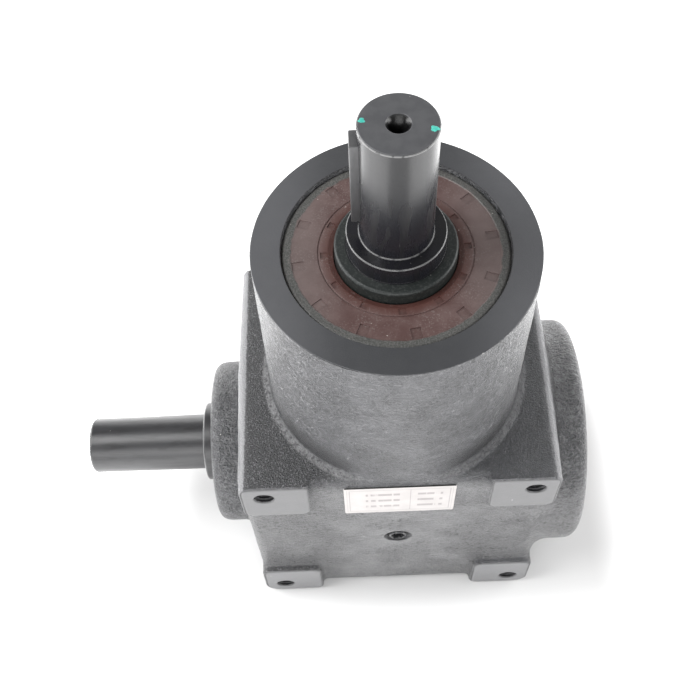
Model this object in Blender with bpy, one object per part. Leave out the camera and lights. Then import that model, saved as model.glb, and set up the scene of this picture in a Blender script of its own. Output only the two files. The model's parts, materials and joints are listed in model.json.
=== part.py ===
"""Right angle bevel gearbox.

A one-piece cast iron housing holds two shafts at right angles. The output shaft stands upright in a long
neck, and the cross shaft lies under it. A 23-tooth crown gear on the cross shaft drives a 17-tooth pinion
on the output shaft. Each shaft runs in two taper roller bearings behind an oil seal.

Lengths are in millimetres, and MM turns them into Blender's metres. The origin is on the base face, under
the output shaft's axis. +Z runs up the output shaft, and the cross shaft's free end points along -X.
"""

import math

import bmesh
import bpy
from mathutils import Matrix, Vector

MM = 0.001
GAP = 0.3          # clearance that touching meshes keep

# ---- driving dimensions --------------------------------------------------------------------------
AXIS_HEIGHT = 88.5         # cross shaft's axis above the base face

BODY_HALF_X = 87.5
BODY_HALF_Y = 69.8
BODY_HALF_Z = AXIS_HEIGHT
BODY_EDGE = 5.0            # rounding of the cast block's edges
WALL = 10.0

PAD_OUTER = 88.5           # pads reach this far from the pattern's centre in X and Z
PAD_INNER = 49.5
PAD_FACE_Y = 72.8
PAD_CORNER = 6.0
BOLT_SPACING = 150.0
BOLT_R = 6.0               # M12 tapped holes
BOLT_DEPTH = 24.0

NECK_R = 70.0
NECK_TOP = 205.0           # heights here and below are above the cross shaft's axis
NECK_BORE_R = 55.0
NECK_SHOULDER_R = 50.0
NECK_SHOULDER_Z = 78.0
FILLET = 8.0               # casting fillet at the foot of the neck and of both bosses

LEFT_BOSS_R = 51.2
LEFT_BOSS_X = -111.2
LEFT_BORE_R = 45.0
LEFT_SHOULDER_R = 40.0
LEFT_SHOULDER_X = -80.0

RIGHT_BOSS_R = 70.0
RIGHT_BOSS_X = 112.2
RIGHT_BORE_R = 55.0

PLUG_HOLE_R = 9.0
PLUG_SOCKET_AF = 8.0
PLUG_LENGTH = 9.0
PLUG_SINK = 1.0            # the plug's face lies this far inside the recess face

LABEL_HALF_X = 31.0
LABEL_SPAN = (45.0, 81.5)
LABEL_PROUD = 0.9

SHAFT_R = 17.5
SHAFT_TOP = 290.0
CENTRE_HOLE_R = 4.5
CENTRE_HOLE_DEPTH = 24.0
COLLAR_R = 23.75
COLLAR_TOP = 219.3
JOURNAL_R = 30.0
JOURNAL_TOP = 209.0
SHOULDER_R = 34.0
UPPER_BEARING = (161.0, 184.0)
LOWER_BEARING = (78.0, 101.0)
PINION_SEAT_END = 29.5

CROSS_END_X = -193.2
CROSS_JOURNAL_R = 25.0
CROSS_COLLAR_X = -119.5
CROSS_BODY_R = 28.0
CROWN_SEAT_R = 26.0
CROWN_SEAT_X = 22.5
LEFT_BEARING = (-96.0, -80.0)
RIGHT_BEARING = (67.5, 94.5)
CROSS_RIGHT_X = 100.0

KEY_WIDTH = 10.0
KEY_HEIGHT = 8.0
KEY_PROUD = 3.3
KEY_SPAN = (232.0, 282.0)
CROSS_KEY_SPAN = (-184.0, -134.0)
CROSS_KEY_ANGLE = math.radians(240.0)   # key faces down and back

SEAL_DEPTH = 13.0
SEAL_TOP = 202.8
LEFT_SEAL_DEPTH = 10.0
LEFT_SEAL_X = -109.6
CAP_SINK = 1.6             # the end cap's rim lies this far inside the right boss's face
CIRCLIP_WIDE = 4.0
SHIM = 1.0

# ---- the gear pair -------------------------------------------------------------------------------
MODULE = 4.5
PINION_TEETH = 17
CROWN_TEETH = 23
FACE_WIDTH = 20.0
PRESSURE_ANGLE = math.radians(20.0)
ADDENDUM = 1.0 * MODULE
DEDENDUM = 1.25 * MODULE
BACKLASH = 0.5
CONE_DISTANCE = 0.5 * MODULE * math.hypot(PINION_TEETH, CROWN_TEETH)

# ---- facets --------------------------------------------------------------------------------------
NECK_SIDES = 40
BOSS_SIDES = 36
SHAFT_SIDES = 28
RING_SIDES = 24
SEAL_SIDES = 28
ROLLERS = 12

UPRIGHT = Matrix.Translation((0, 0, AXIS_HEIGHT * MM))
ALONG_X = UPRIGHT @ Matrix.Rotation(math.pi / 2, 4, "Y")
FACING_LEFT = UPRIGHT @ Matrix.Rotation(-math.pi / 2, 4, "Y")
FAR = 200.0                # a cutter's end that lies clear of the castings


# ---- materials -----------------------------------------------------------------------------------
def material(name, colour, roughness, metallic):
    made = bpy.data.materials.new(name)
    made.use_nodes = True
    shader = made.node_tree.nodes["Principled BSDF"]
    shader.inputs["Base Color"].default_value = (*colour, 1.0)
    shader.inputs["Roughness"].default_value = roughness
    shader.inputs["Metallic"].default_value = metallic
    return made


def make_materials():
    return {
        "cast": material("painted_cast_iron", (0.09, 0.09, 0.095), 0.45, 0.0),
        "shaft": material("oiled_black_steel", (0.07, 0.07, 0.075), 0.35, 0.9),
        "steel": material("ground_steel", (0.55, 0.55, 0.56), 0.3, 1.0),
        "seal": material("brown_seal_rubber", (0.16, 0.07, 0.05), 0.6, 0.0),
        "plug": material("zinc_plug", (0.35, 0.35, 0.36), 0.4, 0.9),
        "label": material("label_paper", (0.85, 0.82, 0.8), 0.5, 0.0),
        "spring": material("spring_steel", (0.12, 0.12, 0.12), 0.4, 0.9),
    }


# ---- mesh helpers --------------------------------------------------------------------------------
def new_object(name, mesh_maker, placing=UPRIGHT, paint=None):
    """One named object whose mesh is made by mesh_maker(bm) in millimetres."""
    bm = bmesh.new()
    mesh_maker(bm)
    bmesh.ops.remove_doubles(bm, verts=bm.verts, dist=1e-5)
    bmesh.ops.recalc_face_normals(bm, faces=bm.faces)
    bmesh.ops.scale(bm, vec=(MM, MM, MM), verts=bm.verts)
    mesh = bpy.data.meshes.new(name)
    bm.to_mesh(mesh)
    bm.free()
    mesh.shade_smooth()
    mesh.set_sharp_from_angle(angle=math.radians(35))
    if paint:
        mesh.materials.append(paint)
    made = bpy.data.objects.new(name, mesh)
    made.matrix_world = placing
    bpy.context.scene.collection.objects.link(made)
    return made


def helper(made):
    """Marks a cutter, or a shape that another object joins, so that it isn't a node."""
    made.hide_render = True
    made.display_type = "WIRE"
    return made


def boolean(target, other, operation):
    step = target.modifiers.new(operation.title() + "_" + other.name, "BOOLEAN")
    step.operation = operation
    step.solver = "EXACT"
    step.object = helper(other)
    return target


def circle_at(bm, radius, height, angles):
    return [
        bm.verts.new((radius * math.cos(a), radius * math.sin(a), height)) for a in angles
    ]


def even_angles(count, start=0.0):
    return [start + 2 * math.pi * i / count for i in range(count)]


def bridge(bm, first, second):
    """Quads between two closed rings of the same length."""
    count = len(first)
    for i in range(count):
        j = (i + 1) % count
        bm.faces.new((first[i], first[j], second[j], second[i]))


def lathe(profile, sides):
    """A mesh maker that turns a closed profile of (radius, height) points about Z.

    A profile that starts and ends on the axis has radius 0 at those two points.
    """
    on_axis = profile[0][0] == 0
    angles = even_angles(sides)

    def make(bm):
        if not on_axis:
            rings = [circle_at(bm, r, z, angles) for r, z in profile]
            for first, second in zip(rings, rings[1:] + rings[:1]):
                bridge(bm, first, second)
            return
        rings = [circle_at(bm, r, z, angles) for r, z in profile[1:-1]]
        for first, second in zip(rings, rings[1:]):
            bridge(bm, first, second)
        for ring, pole in ((rings[0], profile[0]), (rings[-1], profile[-1])):
            centre = bm.verts.new((0, 0, pole[1]))
            for i in range(sides):
                bm.faces.new((ring[i], ring[(i + 1) % sides], centre))

    return make


def rod(radius, low, high):
    return [(0, low), (radius, low), (radius, high), (0, high)]


def box(low, high):
    """A mesh maker for the box between two corners."""

    def make(bm):
        made = bmesh.ops.create_cube(bm, size=1.0)["verts"]
        for v in made:
            v.co = Vector(
                low[k] if v.co[k] < 0 else high[k] for k in range(3)
            )

    return make


def plate_outline(half_x, half_z, radii, segments=4):
    """Corners of a rectangle in X and Z, each with its own radius, anticlockwise from +X +Z."""
    points = []
    for corner, radius in enumerate(radii):
        sx = (1, -1, -1, 1)[corner]
        sz = (1, 1, -1, -1)[corner]
        for i in range(segments + 1):
            turn = math.pi / 2 * (corner + i / segments)
            points.append(
                (
                    sx * (half_x - radius) + radius * math.cos(turn),
                    sz * (half_z - radius) + radius * math.sin(turn),
                )
            )
    return points


def prism(outline, near_y, far_y):
    """A mesh maker that extrudes an outline in X and Z from near_y to far_y."""

    def make(bm):
        near = [bm.verts.new((x, near_y, z)) for x, z in outline]
        far = [bm.verts.new((x, far_y, z)) for x, z in outline]
        bridge(bm, near, far)
        bm.faces.new(near)
        bm.faces.new(list(reversed(far)))

    return make


def arc(centre, radius, start, end, steps):
    """Points on an arc, as (radius, height) pairs for a profile. Angles are in degrees."""
    return [
        (
            centre[0] + radius * math.cos(math.radians(start + (end - start) * i / steps)),
            centre[1] + radius * math.sin(math.radians(start + (end - start) * i / steps)),
        )
        for i in range(steps + 1)
    ]


# ---- housing -------------------------------------------------------------------------------------
def block_maker(bm):
    """The cast block, with its edges rounded except round the flat base."""
    bmesh.ops.create_cube(bm, size=2.0)
    bmesh.ops.scale(
        bm, vec=(BODY_HALF_X, BODY_HALF_Y, BODY_HALF_Z), verts=bm.verts
    )
    base_edges = [e for e in bm.edges if all(v.co.z < 0 for v in e.verts)]
    rounded = [e for e in bm.edges if e not in base_edges]
    bmesh.ops.bevel(
        bm, geom=rounded, offset=BODY_EDGE, segments=3, profile=0.5, affect="EDGES"
    )


def corner_pad(sign_x, sign_y, sign_z):
    centre = (PAD_OUTER + PAD_INNER) / 2
    half = (PAD_OUTER - PAD_INNER) / 2
    outer = (0 if sign_x > 0 else 1) if sign_z > 0 else (2 if sign_x < 0 else 3)
    radii = [2.0] * 4
    radii[outer] = PAD_CORNER
    radii[(outer + 2) % 4] = PAD_CORNER
    outline = [
        (x + sign_x * centre, z + sign_z * centre)
        for x, z in plate_outline(half, half, radii, 3)
    ]
    return prism(outline, sign_y * (BODY_HALF_Y - WALL / 2), sign_y * PAD_FACE_Y)


def flared(radius, foot, end, edge):
    """Profile of a solid round boss with a fillet at its foot and a rounded outer edge."""
    return (
        [(0, foot - WALL), (radius + FILLET, foot - WALL), (radius + FILLET, foot)]
        + arc((radius + FILLET, foot + FILLET), FILLET, 250, 180, 3)
        + [(radius, end - edge), (radius - edge, end), (0, end)]
    )


def add_bosses(housing):
    """The neck and both bosses. Their feet are trimmed to the block's front and back."""
    slab_y = BODY_HALF_Y - 0.05
    slab_z = BODY_HALF_Z - GAP
    foot_end = FILLET + 1
    neck = new_object("neck_form", lathe(flared(NECK_R, BODY_HALF_Z, NECK_TOP, 0.8), NECK_SIDES))
    trim_low = (-BODY_HALF_X, -NECK_R - 1, -BODY_HALF_Z)
    trim_high = (BODY_HALF_X, NECK_R + 1, NECK_TOP + FAR)
    boolean(neck, new_object("neck_trim", box(trim_low, trim_high)), "INTERSECT")
    for name, near, far in (("neck_front_trim", -FAR, -slab_y), ("neck_back_trim", slab_y, FAR)):
        trim = new_object(name, box((-FAR, near, 0), (FAR, far, BODY_HALF_Z + foot_end)))
        boolean(neck, trim, "DIFFERENCE")
    boolean(housing, neck, "UNION")
    left_form = lathe(flared(LEFT_BOSS_R, BODY_HALF_X, -LEFT_BOSS_X, 2.0), BOSS_SIDES)
    left = new_object("left_boss_form", left_form, FACING_LEFT)
    left_trim = box((-FAR, -slab_y, -slab_z), (FAR, slab_y, slab_z))
    boolean(left, new_object("left_boss_trim", left_trim), "INTERSECT")
    boolean(housing, left, "UNION")
    right_form = lathe(flared(RIGHT_BOSS_R, BODY_HALF_X, RIGHT_BOSS_X, 2.0), BOSS_SIDES)
    right = new_object("right_boss_form", right_form, ALONG_X)
    for name, near, far in (("right_front_trim", -FAR, -slab_y), ("right_back_trim", slab_y, FAR)):
        trim = new_object(name, box((-FAR, near, -FAR), (BODY_HALF_X + foot_end, far, FAR)))
        boolean(right, trim, "DIFFERENCE")
    right_trim = box((-FAR, -RIGHT_BOSS_R - 1, -slab_z), (FAR, RIGHT_BOSS_R + 1, slab_z))
    boolean(right, new_object("right_boss_trim", right_trim), "INTERSECT")
    boolean(housing, right, "UNION")


def cut_bores(housing):
    """The gear chamber, the neck's bore and both side bores, as turned cutters."""
    inner = BODY_HALF_Z - WALL - 2.5
    chamber = new_object(
        "chamber",
        box((-76, -(BODY_HALF_Y - WALL), -inner), (60, BODY_HALF_Y - WALL, NECK_SHOULDER_Z - 6)),
    )
    neck = [
        (0, 60),
        (NECK_SHOULDER_R, 60),
        (NECK_SHOULDER_R, NECK_SHOULDER_Z),
        (NECK_BORE_R + GAP, NECK_SHOULDER_Z),
        (NECK_BORE_R + GAP, NECK_TOP - 1.4),
        (NECK_BORE_R + 1.9, NECK_TOP + 0.2),
        (NECK_BORE_R + 1.9, NECK_TOP + 5),
        (0, NECK_TOP + 5),
    ]
    left = [
        (0, 60),
        (LEFT_SHOULDER_R, 60),
        (LEFT_SHOULDER_R, -LEFT_SHOULDER_X),
        (LEFT_BORE_R + GAP, -LEFT_SHOULDER_X),
        (LEFT_BORE_R + GAP, -LEFT_BOSS_X - 1),
        (LEFT_BORE_R + 1.6, -LEFT_BOSS_X + 0.3),
        (LEFT_BORE_R + 1.6, -LEFT_BOSS_X + 5),
        (0, -LEFT_BOSS_X + 5),
    ]
    right = [
        (0, 50),
        (RIGHT_BORE_R + GAP, 50),
        (RIGHT_BORE_R + GAP, RIGHT_BOSS_X - 1),
        (RIGHT_BORE_R + 1.6, RIGHT_BOSS_X + 0.3),
        (RIGHT_BORE_R + 1.6, RIGHT_BOSS_X + 5),
        (0, RIGHT_BOSS_X + 5),
    ]
    cutters = (
        chamber,
        new_object("neck_bore", lathe(neck, NECK_SIDES)),
        new_object("left_bore", lathe(left, BOSS_SIDES), FACING_LEFT),
        new_object("right_bore", lathe(right, BOSS_SIDES), ALONG_X),
    )
    for cutter in cutters:
        boolean(housing, cutter, "DIFFERENCE")


def drill_holes(housing):
    """Eight tapped holes in the pads, and a plug hole in the middle of the front and the back."""
    half = BOLT_SPACING / 2
    for sign_y in (-1, 1):
        for sign_x in (-1, 1):
            for sign_z in (-1, 1):
                place = (
                    UPRIGHT
                    @ Matrix.Translation(
                        (sign_x * half * MM, sign_y * PAD_FACE_Y * MM, sign_z * half * MM)
                    )
                    @ Matrix.Rotation(math.pi / 2, 4, "X")
                )
                hole = new_object("pad_hole", lathe(rod(BOLT_R, -BOLT_DEPTH, BOLT_DEPTH), 14), place)
                boolean(housing, hole, "DIFFERENCE")
        place = (
            UPRIGHT
            @ Matrix.Translation((0, sign_y * BODY_HALF_Y * MM, 0))
            @ Matrix.Rotation(math.pi / 2, 4, "X")
        )
        hole = new_object("plug_hole", lathe(rod(PLUG_HOLE_R, -15, 15), 20), place)
        boolean(housing, hole, "DIFFERENCE")


def make_housing(paints):
    housing = new_object("housing", block_maker, UPRIGHT, paints["cast"])
    for sign_y in (-1, 1):
        for sign_x in (-1, 1):
            for sign_z in (-1, 1):
                pad = new_object("pad_form", corner_pad(sign_x, sign_y, sign_z))
                boolean(housing, pad, "UNION")
    add_bosses(housing)
    cut_bores(housing)
    drill_holes(housing)
    return housing


# ---- shafts and keys -----------------------------------------------------------------------------
def keyway_box(span, seat_r, angle=math.pi):
    """A mesh maker for the box that a key fills, grown by GAP. It lies along local Z at the given angle."""

    def make(bm):
        box(
            (seat_r + KEY_PROUD - KEY_HEIGHT - GAP, -KEY_WIDTH / 2 - GAP, span[0] - GAP),
            (seat_r + KEY_PROUD + 12, KEY_WIDTH / 2 + GAP, span[1] + GAP),
        )(bm)
        bmesh.ops.rotate(
            bm, verts=bm.verts, matrix=Matrix.Rotation(angle, 3, "Z"), cent=(0, 0, 0)
        )

    return make


def make_key(name, span, seat_r, placing, paint, angle=math.pi):
    def make(bm):
        box(
            (seat_r + KEY_PROUD - KEY_HEIGHT, -KEY_WIDTH / 2, span[0]),
            (seat_r + KEY_PROUD, KEY_WIDTH / 2, span[1]),
        )(bm)
        bmesh.ops.bevel(bm, geom=list(bm.edges), offset=0.4, segments=1, affect="EDGES")
        bmesh.ops.rotate(
            bm, verts=bm.verts, matrix=Matrix.Rotation(angle, 3, "Z"), cent=(0, 0, 0)
        )

    return new_object(name, make, placing, paint)


OUTPUT_SHAFT = [
    (0, PINION_SEAT_END),
    (SHAFT_R - 1, PINION_SEAT_END),
    (SHAFT_R, PINION_SEAT_END + 1),
    (SHAFT_R, PINION_SEAT_END + 1.7),
    (SHAFT_R - 1.5, PINION_SEAT_END + 1.7),
    (SHAFT_R - 1.5, PINION_SEAT_END + 4.3),
    (SHAFT_R, PINION_SEAT_END + 4.3),
    (SHAFT_R, LOWER_BEARING[0] - GAP),
    (JOURNAL_R - GAP, LOWER_BEARING[0] - GAP),
    (JOURNAL_R - GAP, LOWER_BEARING[1] + GAP),
    (SHOULDER_R, LOWER_BEARING[1] + GAP),
    (SHOULDER_R, UPPER_BEARING[0] - GAP),
    (JOURNAL_R - GAP, UPPER_BEARING[0] - GAP),
    (JOURNAL_R - GAP, JOURNAL_TOP - 2),
    (JOURNAL_R - 1.2, JOURNAL_TOP),
    (COLLAR_R, JOURNAL_TOP),
    (COLLAR_R, COLLAR_TOP - 0.6),
    (COLLAR_R - 0.6, COLLAR_TOP),
    (SHAFT_R, COLLAR_TOP),
    (SHAFT_R, SHAFT_TOP - 0.5),
    (SHAFT_R - 0.5, SHAFT_TOP),
    (CENTRE_HOLE_R + 1.5, SHAFT_TOP),
    (CENTRE_HOLE_R, SHAFT_TOP - 2.5),
    (CENTRE_HOLE_R, SHAFT_TOP - CENTRE_HOLE_DEPTH),
    (0, SHAFT_TOP - CENTRE_HOLE_DEPTH - 2),
]

CROSS_SHAFT = [
    (0, CROSS_END_X),
    (SHAFT_R - 1, CROSS_END_X),
    (SHAFT_R, CROSS_END_X + 1),
    (SHAFT_R, CROSS_COLLAR_X),
    (CROSS_JOURNAL_R - 1.2, CROSS_COLLAR_X),
    (CROSS_JOURNAL_R - GAP, CROSS_COLLAR_X + 1.2),
    (CROSS_JOURNAL_R - GAP, LEFT_BEARING[1] + GAP),
    (CROSS_BODY_R, LEFT_BEARING[1] + GAP),
    (CROSS_BODY_R, CROWN_SEAT_X),
    (CROWN_SEAT_R, CROWN_SEAT_X),
    (CROWN_SEAT_R, RIGHT_BEARING[0] - GAP),
    (CROSS_JOURNAL_R - GAP, RIGHT_BEARING[0] - GAP),
    (CROSS_JOURNAL_R - GAP, RIGHT_BEARING[1] + 0.6),
    (CROSS_JOURNAL_R - 1.8, RIGHT_BEARING[1] + 0.6),
    (CROSS_JOURNAL_R - 1.8, RIGHT_BEARING[1] + 3.2),
    (CROSS_JOURNAL_R - GAP, RIGHT_BEARING[1] + 3.2),
    (CROSS_JOURNAL_R - GAP, CROSS_RIGHT_X - 1),
    (CROSS_JOURNAL_R - 1, CROSS_RIGHT_X),
    (0, CROSS_RIGHT_X),
]

PINION_KEY_SPAN = (44.0, 74.0)
CROWN_KEY_SPAN = (28.0, 64.0)


def make_shafts(paints):
    output = new_object("output_shaft", lathe(OUTPUT_SHAFT, SHAFT_SIDES), UPRIGHT, paints["shaft"])
    for name, span, seat_r in (
        ("output_keyway", KEY_SPAN, SHAFT_R),
        ("pinion_keyway", PINION_KEY_SPAN, SHAFT_R),
    ):
        boolean(output, new_object(name, keyway_box(span, seat_r)), "DIFFERENCE")
    cross = new_object("cross_shaft", lathe(CROSS_SHAFT, SHAFT_SIDES), ALONG_X, paints["shaft"])
    for name, span, seat_r, angle in (
        ("cross_keyway", CROSS_KEY_SPAN, SHAFT_R, CROSS_KEY_ANGLE - math.pi),
        ("crown_keyway", CROWN_KEY_SPAN, CROWN_SEAT_R, math.pi),
    ):
        boolean(cross, new_object(name, keyway_box(span, seat_r, angle), ALONG_X), "DIFFERENCE")
    make_key("output_key", KEY_SPAN, SHAFT_R, UPRIGHT, paints["shaft"])
    make_key("pinion_key", PINION_KEY_SPAN, SHAFT_R, UPRIGHT, paints["steel"])
    make_key("crown_key", CROWN_KEY_SPAN, CROWN_SEAT_R, ALONG_X, paints["steel"])
    make_key(
        "cross_shaft_key", CROSS_KEY_SPAN, SHAFT_R, ALONG_X, paints["shaft"], CROSS_KEY_ANGLE - math.pi
    )


# ---- bevel gears ---------------------------------------------------------------------------------
def tooth_flank(pitch_r, cone_angle):
    """Points (radius, half angle) up one flank, on the flat gear that the back cone unrolls into."""
    flat_pitch = pitch_r / math.cos(cone_angle)
    base = flat_pitch * math.cos(PRESSURE_ANGLE)
    root = flat_pitch - DEDENDUM
    tip = flat_pitch + ADDENDUM
    half_tooth = (math.pi * MODULE - BACKLASH) / 4 / flat_pitch
    involute = math.tan(PRESSURE_ANGLE) - PRESSURE_ANGLE
    lowest = max(base, root) + 0.02
    radii = [root, lowest + 0.2 * (tip - lowest), lowest + 0.6 * (tip - lowest), tip]
    points = []
    for radius in radii:
        rolled = math.acos(min(1.0, base / max(radius, lowest)))
        spread = half_tooth + involute - (math.tan(rolled) - rolled)
        points.append((radius, spread))
    return points


def tooth_ring(teeth, cone_angle, phase):
    """All the tooth points of the large end, as (radius, height, angle) about the gear's axis."""
    pitch_r = MODULE * teeth / 2
    apex = CONE_DISTANCE / math.cos(cone_angle)
    flank = tooth_flank(pitch_r, cone_angle)
    loop = [(r, -a) for r, a in flank] + [(r, a) for r, a in reversed(flank)]
    points = []
    for tooth in range(teeth):
        middle = phase + 2 * math.pi * tooth / teeth
        for radius, half in loop:
            points.append(
                (
                    radius * math.cos(cone_angle),
                    apex - radius * math.sin(cone_angle),
                    middle + half / math.cos(cone_angle),
                )
            )
    return points


def zip_rings(bm, first, second):
    """Triangles between two closed rings of (vertex, angle) whose angles both rise through one turn."""
    a, b = list(first), list(second)
    a.append((a[0][0], a[0][1] + 2 * math.pi))
    b.append((b[0][0], b[0][1] + 2 * math.pi))
    i = j = 0
    while i < len(a) - 1 or j < len(b) - 1:
        step_a = i < len(a) - 1 and (j == len(b) - 1 or a[i + 1][1] <= b[j + 1][1])
        if step_a:
            bm.faces.new((a[i][0], a[i + 1][0], b[j][0]))
            i += 1
        else:
            bm.faces.new((a[i][0], b[j + 1][0], b[j][0]))
            j += 1


def gear_maker(teeth, cone_angle, phase, blank):
    """A mesh maker for a straight bevel gear whose apex is at the local origin.

    blank lists (radius, height) from behind the teeth, down the hub and through the bore, to the front.
    """
    shrink = (CONE_DISTANCE - FACE_WIDTH) / CONE_DISTANCE

    def make(bm):
        ring = tooth_ring(teeth, cone_angle, phase)
        large, small = [], []
        for radius, height, angle in ring:
            x, y = radius * math.cos(angle), radius * math.sin(angle)
            large.append((bm.verts.new((x, y, height)), angle))
            small.append((bm.verts.new((x * shrink, y * shrink, height * shrink)), angle))
        bridge(bm, [v for v, _ in small], [v for v, _ in large])
        angles = even_angles(2 * teeth, phase - math.pi / (2 * teeth))
        rings = [circle_at(bm, r, z, angles) for r, z in blank]
        for first, second in zip(rings, rings[1:]):
            bridge(bm, first, second)
        zip_rings(bm, large, list(zip(rings[0], angles)))
        zip_rings(bm, small, list(zip(rings[-1], angles)))

    return make


def make_gears(paints):
    pinion_angle = math.atan2(PINION_TEETH, CROWN_TEETH)
    crown_angle = math.pi / 2 - pinion_angle
    bore = SHAFT_R + GAP
    pinion_blank = [
        (33.0, 61.0),
        (26.0, 61.0),
        (26.0, LOWER_BEARING[0] - 2 * GAP),
        (bore, LOWER_BEARING[0] - 2 * GAP),
        (bore, 36.5),
        (22.0, 38.0),
    ]
    pinion = new_object(
        "bevel_pinion",
        gear_maker(PINION_TEETH, pinion_angle, math.pi / PINION_TEETH, pinion_blank),
        UPRIGHT,
        paints["steel"],
    )
    boolean(pinion, new_object("pinion_slot", gear_slot(SHAFT_R, 30, 80)), "DIFFERENCE")
    crown_bore = CROWN_SEAT_R + GAP
    crown_blank = [
        (46.0, 51.0),
        (35.0, 51.0),
        (35.0, RIGHT_BEARING[0] - 2 * GAP),
        (crown_bore, RIGHT_BEARING[0] - 2 * GAP),
        (crown_bore, CROWN_SEAT_X + GAP),
        (31.0, CROWN_SEAT_X + GAP),
        (32.0, 29.0),
    ]
    crown = new_object(
        "bevel_crown_gear",
        gear_maker(CROWN_TEETH, crown_angle, math.pi, crown_blank),
        ALONG_X,
        paints["steel"],
    )
    boolean(crown, new_object("crown_slot", gear_slot(CROWN_SEAT_R, 15, 75), ALONG_X), "DIFFERENCE")


def gear_slot(seat_r, low, high):
    """The keyway through a gear's bore, on the shaft key's side."""
    reach = seat_r + KEY_PROUD + GAP
    return box((-reach, -KEY_WIDTH / 2 - GAP, low), (-seat_r / 2, KEY_WIDTH / 2 + GAP, high))


# ---- taper roller bearings -----------------------------------------------------------------------
def roller_cage_maker(bore_r, depth, width, back):
    """Rollers and their cage as one ring, which bulges at each roller and thins to a bar between."""
    big_r = bore_r + 0.57 * depth
    small_r = bore_r + 0.46 * depth
    offsets = (-0.92, -0.4, 0.4, 0.92)

    def make(bm):
        sections = []
        for roller in range(ROLLERS):
            middle = 2 * math.pi * roller / ROLLERS
            for offset in offsets:
                section = []
                for mean, thick, height in (
                    (big_r, 0.205 * depth, back + 0.17 * width),
                    (small_r, 0.185 * depth, back + 0.86 * width),
                ):
                    angle = middle + math.asin(offset * thick / mean)
                    bulge = thick * math.sqrt(1 - offset * offset)
                    for radius in (mean - bulge, mean + bulge):
                        section.append(
                            bm.verts.new(
                                (radius * math.cos(angle), radius * math.sin(angle), height)
                            )
                        )
                sections.append([section[0], section[1], section[3], section[2]])
        for first, second in zip(sections, sections[1:] + sections[:1]):
            bridge(bm, first, second)

    return make


def make_bearing(name, bore_r, outer_r, span, cup_side, placing, paints):
    """Cup, cone and roller set between the heights of span. cup_side is +1 where the cup's back faces up."""
    depth = outer_r - bore_r
    width = span[1] - span[0]
    turn = Matrix.Identity(4) if cup_side > 0 else Matrix.Rotation(math.pi, 4, "X")
    back = span[0] if cup_side > 0 else -span[1]
    cone = [
        (bore_r, back),
        (bore_r + 0.40 * depth, back),
        (bore_r + 0.40 * depth, back + 0.13 * width),
        (bore_r + 0.34 * depth, back + 0.15 * width),
        (bore_r + 0.24 * depth, back + 0.90 * width),
        (bore_r, back + 0.92 * width),
    ]
    cup = [
        (outer_r, back + 0.2 * width),
        (outer_r, back + width - 0.6),
        (outer_r - 0.6, back + width),
        (bore_r + 0.68 * depth, back + width),
        (bore_r + 0.80 * depth, back + 0.2 * width),
    ]
    new_object(name + "_cone", lathe(cone, RING_SIDES), placing @ turn, paints["steel"])
    new_object(name + "_cup", lathe(cup, RING_SIDES), placing @ turn, paints["steel"])
    new_object(
        name + "_rollers",
        roller_cage_maker(bore_r, depth, width, back),
        placing @ turn,
        paints["steel"],
    )


def make_bearings(paints):
    make_bearing("upper_bearing", JOURNAL_R, NECK_BORE_R, UPPER_BEARING, 1, UPRIGHT, paints)
    make_bearing("lower_bearing", JOURNAL_R, NECK_BORE_R, LOWER_BEARING, -1, UPRIGHT, paints)
    make_bearing("left_bearing", CROSS_JOURNAL_R, LEFT_BORE_R, LEFT_BEARING, -1, ALONG_X, paints)
    make_bearing("right_bearing", CROSS_JOURNAL_R, RIGHT_BORE_R, RIGHT_BEARING, 1, ALONG_X, paints)


# ---- rings, seals and covers ---------------------------------------------------------------------
def split_ring(inner, outer, low, high, opening):
    """A mesh maker for a circlip: a flat ring with a gap of opening degrees, on the +X side."""
    half = math.radians(opening / 2)
    steps = 20

    def make(bm):
        sections = []
        for i in range(steps + 1):
            angle = half + (2 * math.pi - 2 * half) * i / steps
            c, s = math.cos(angle), math.sin(angle)
            sections.append(
                [
                    bm.verts.new((inner * c, inner * s, low)),
                    bm.verts.new((outer * c, outer * s, low)),
                    bm.verts.new((outer * c, outer * s, high)),
                    bm.verts.new((inner * c, inner * s, high)),
                ]
            )
        for first, second in zip(sections, sections[1:]):
            bridge(bm, first, second)
        bm.faces.new(sections[0])
        bm.faces.new(list(reversed(sections[-1])))

    return make


def seal_profile(lip_r, outer_r, face, depth):
    """An oil seal's section: outer wall, thin web with a stepped face, and a lip that leans to the shaft."""
    return [
        (outer_r, face - 1.0),
        (outer_r, face - depth),
        (outer_r - 3.5, face - depth),
        (outer_r - 3.5, face - 4.5),
        (lip_r + 8.5, face - 4.5),
        (lip_r + 5.0, face - depth + 2.5),
        (lip_r + 1.5, face - depth + 2.5),
        (lip_r + GAP, face - depth + 4.0),
        (lip_r + GAP, face - 1.5),
        (lip_r + 1.5, face + 0.4),
        (lip_r + 2.5, face - 1.0),
        (outer_r - 4.0, face - 1.0),
        (outer_r - 4.0, face),
        (outer_r - 0.8, face),
    ]


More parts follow.
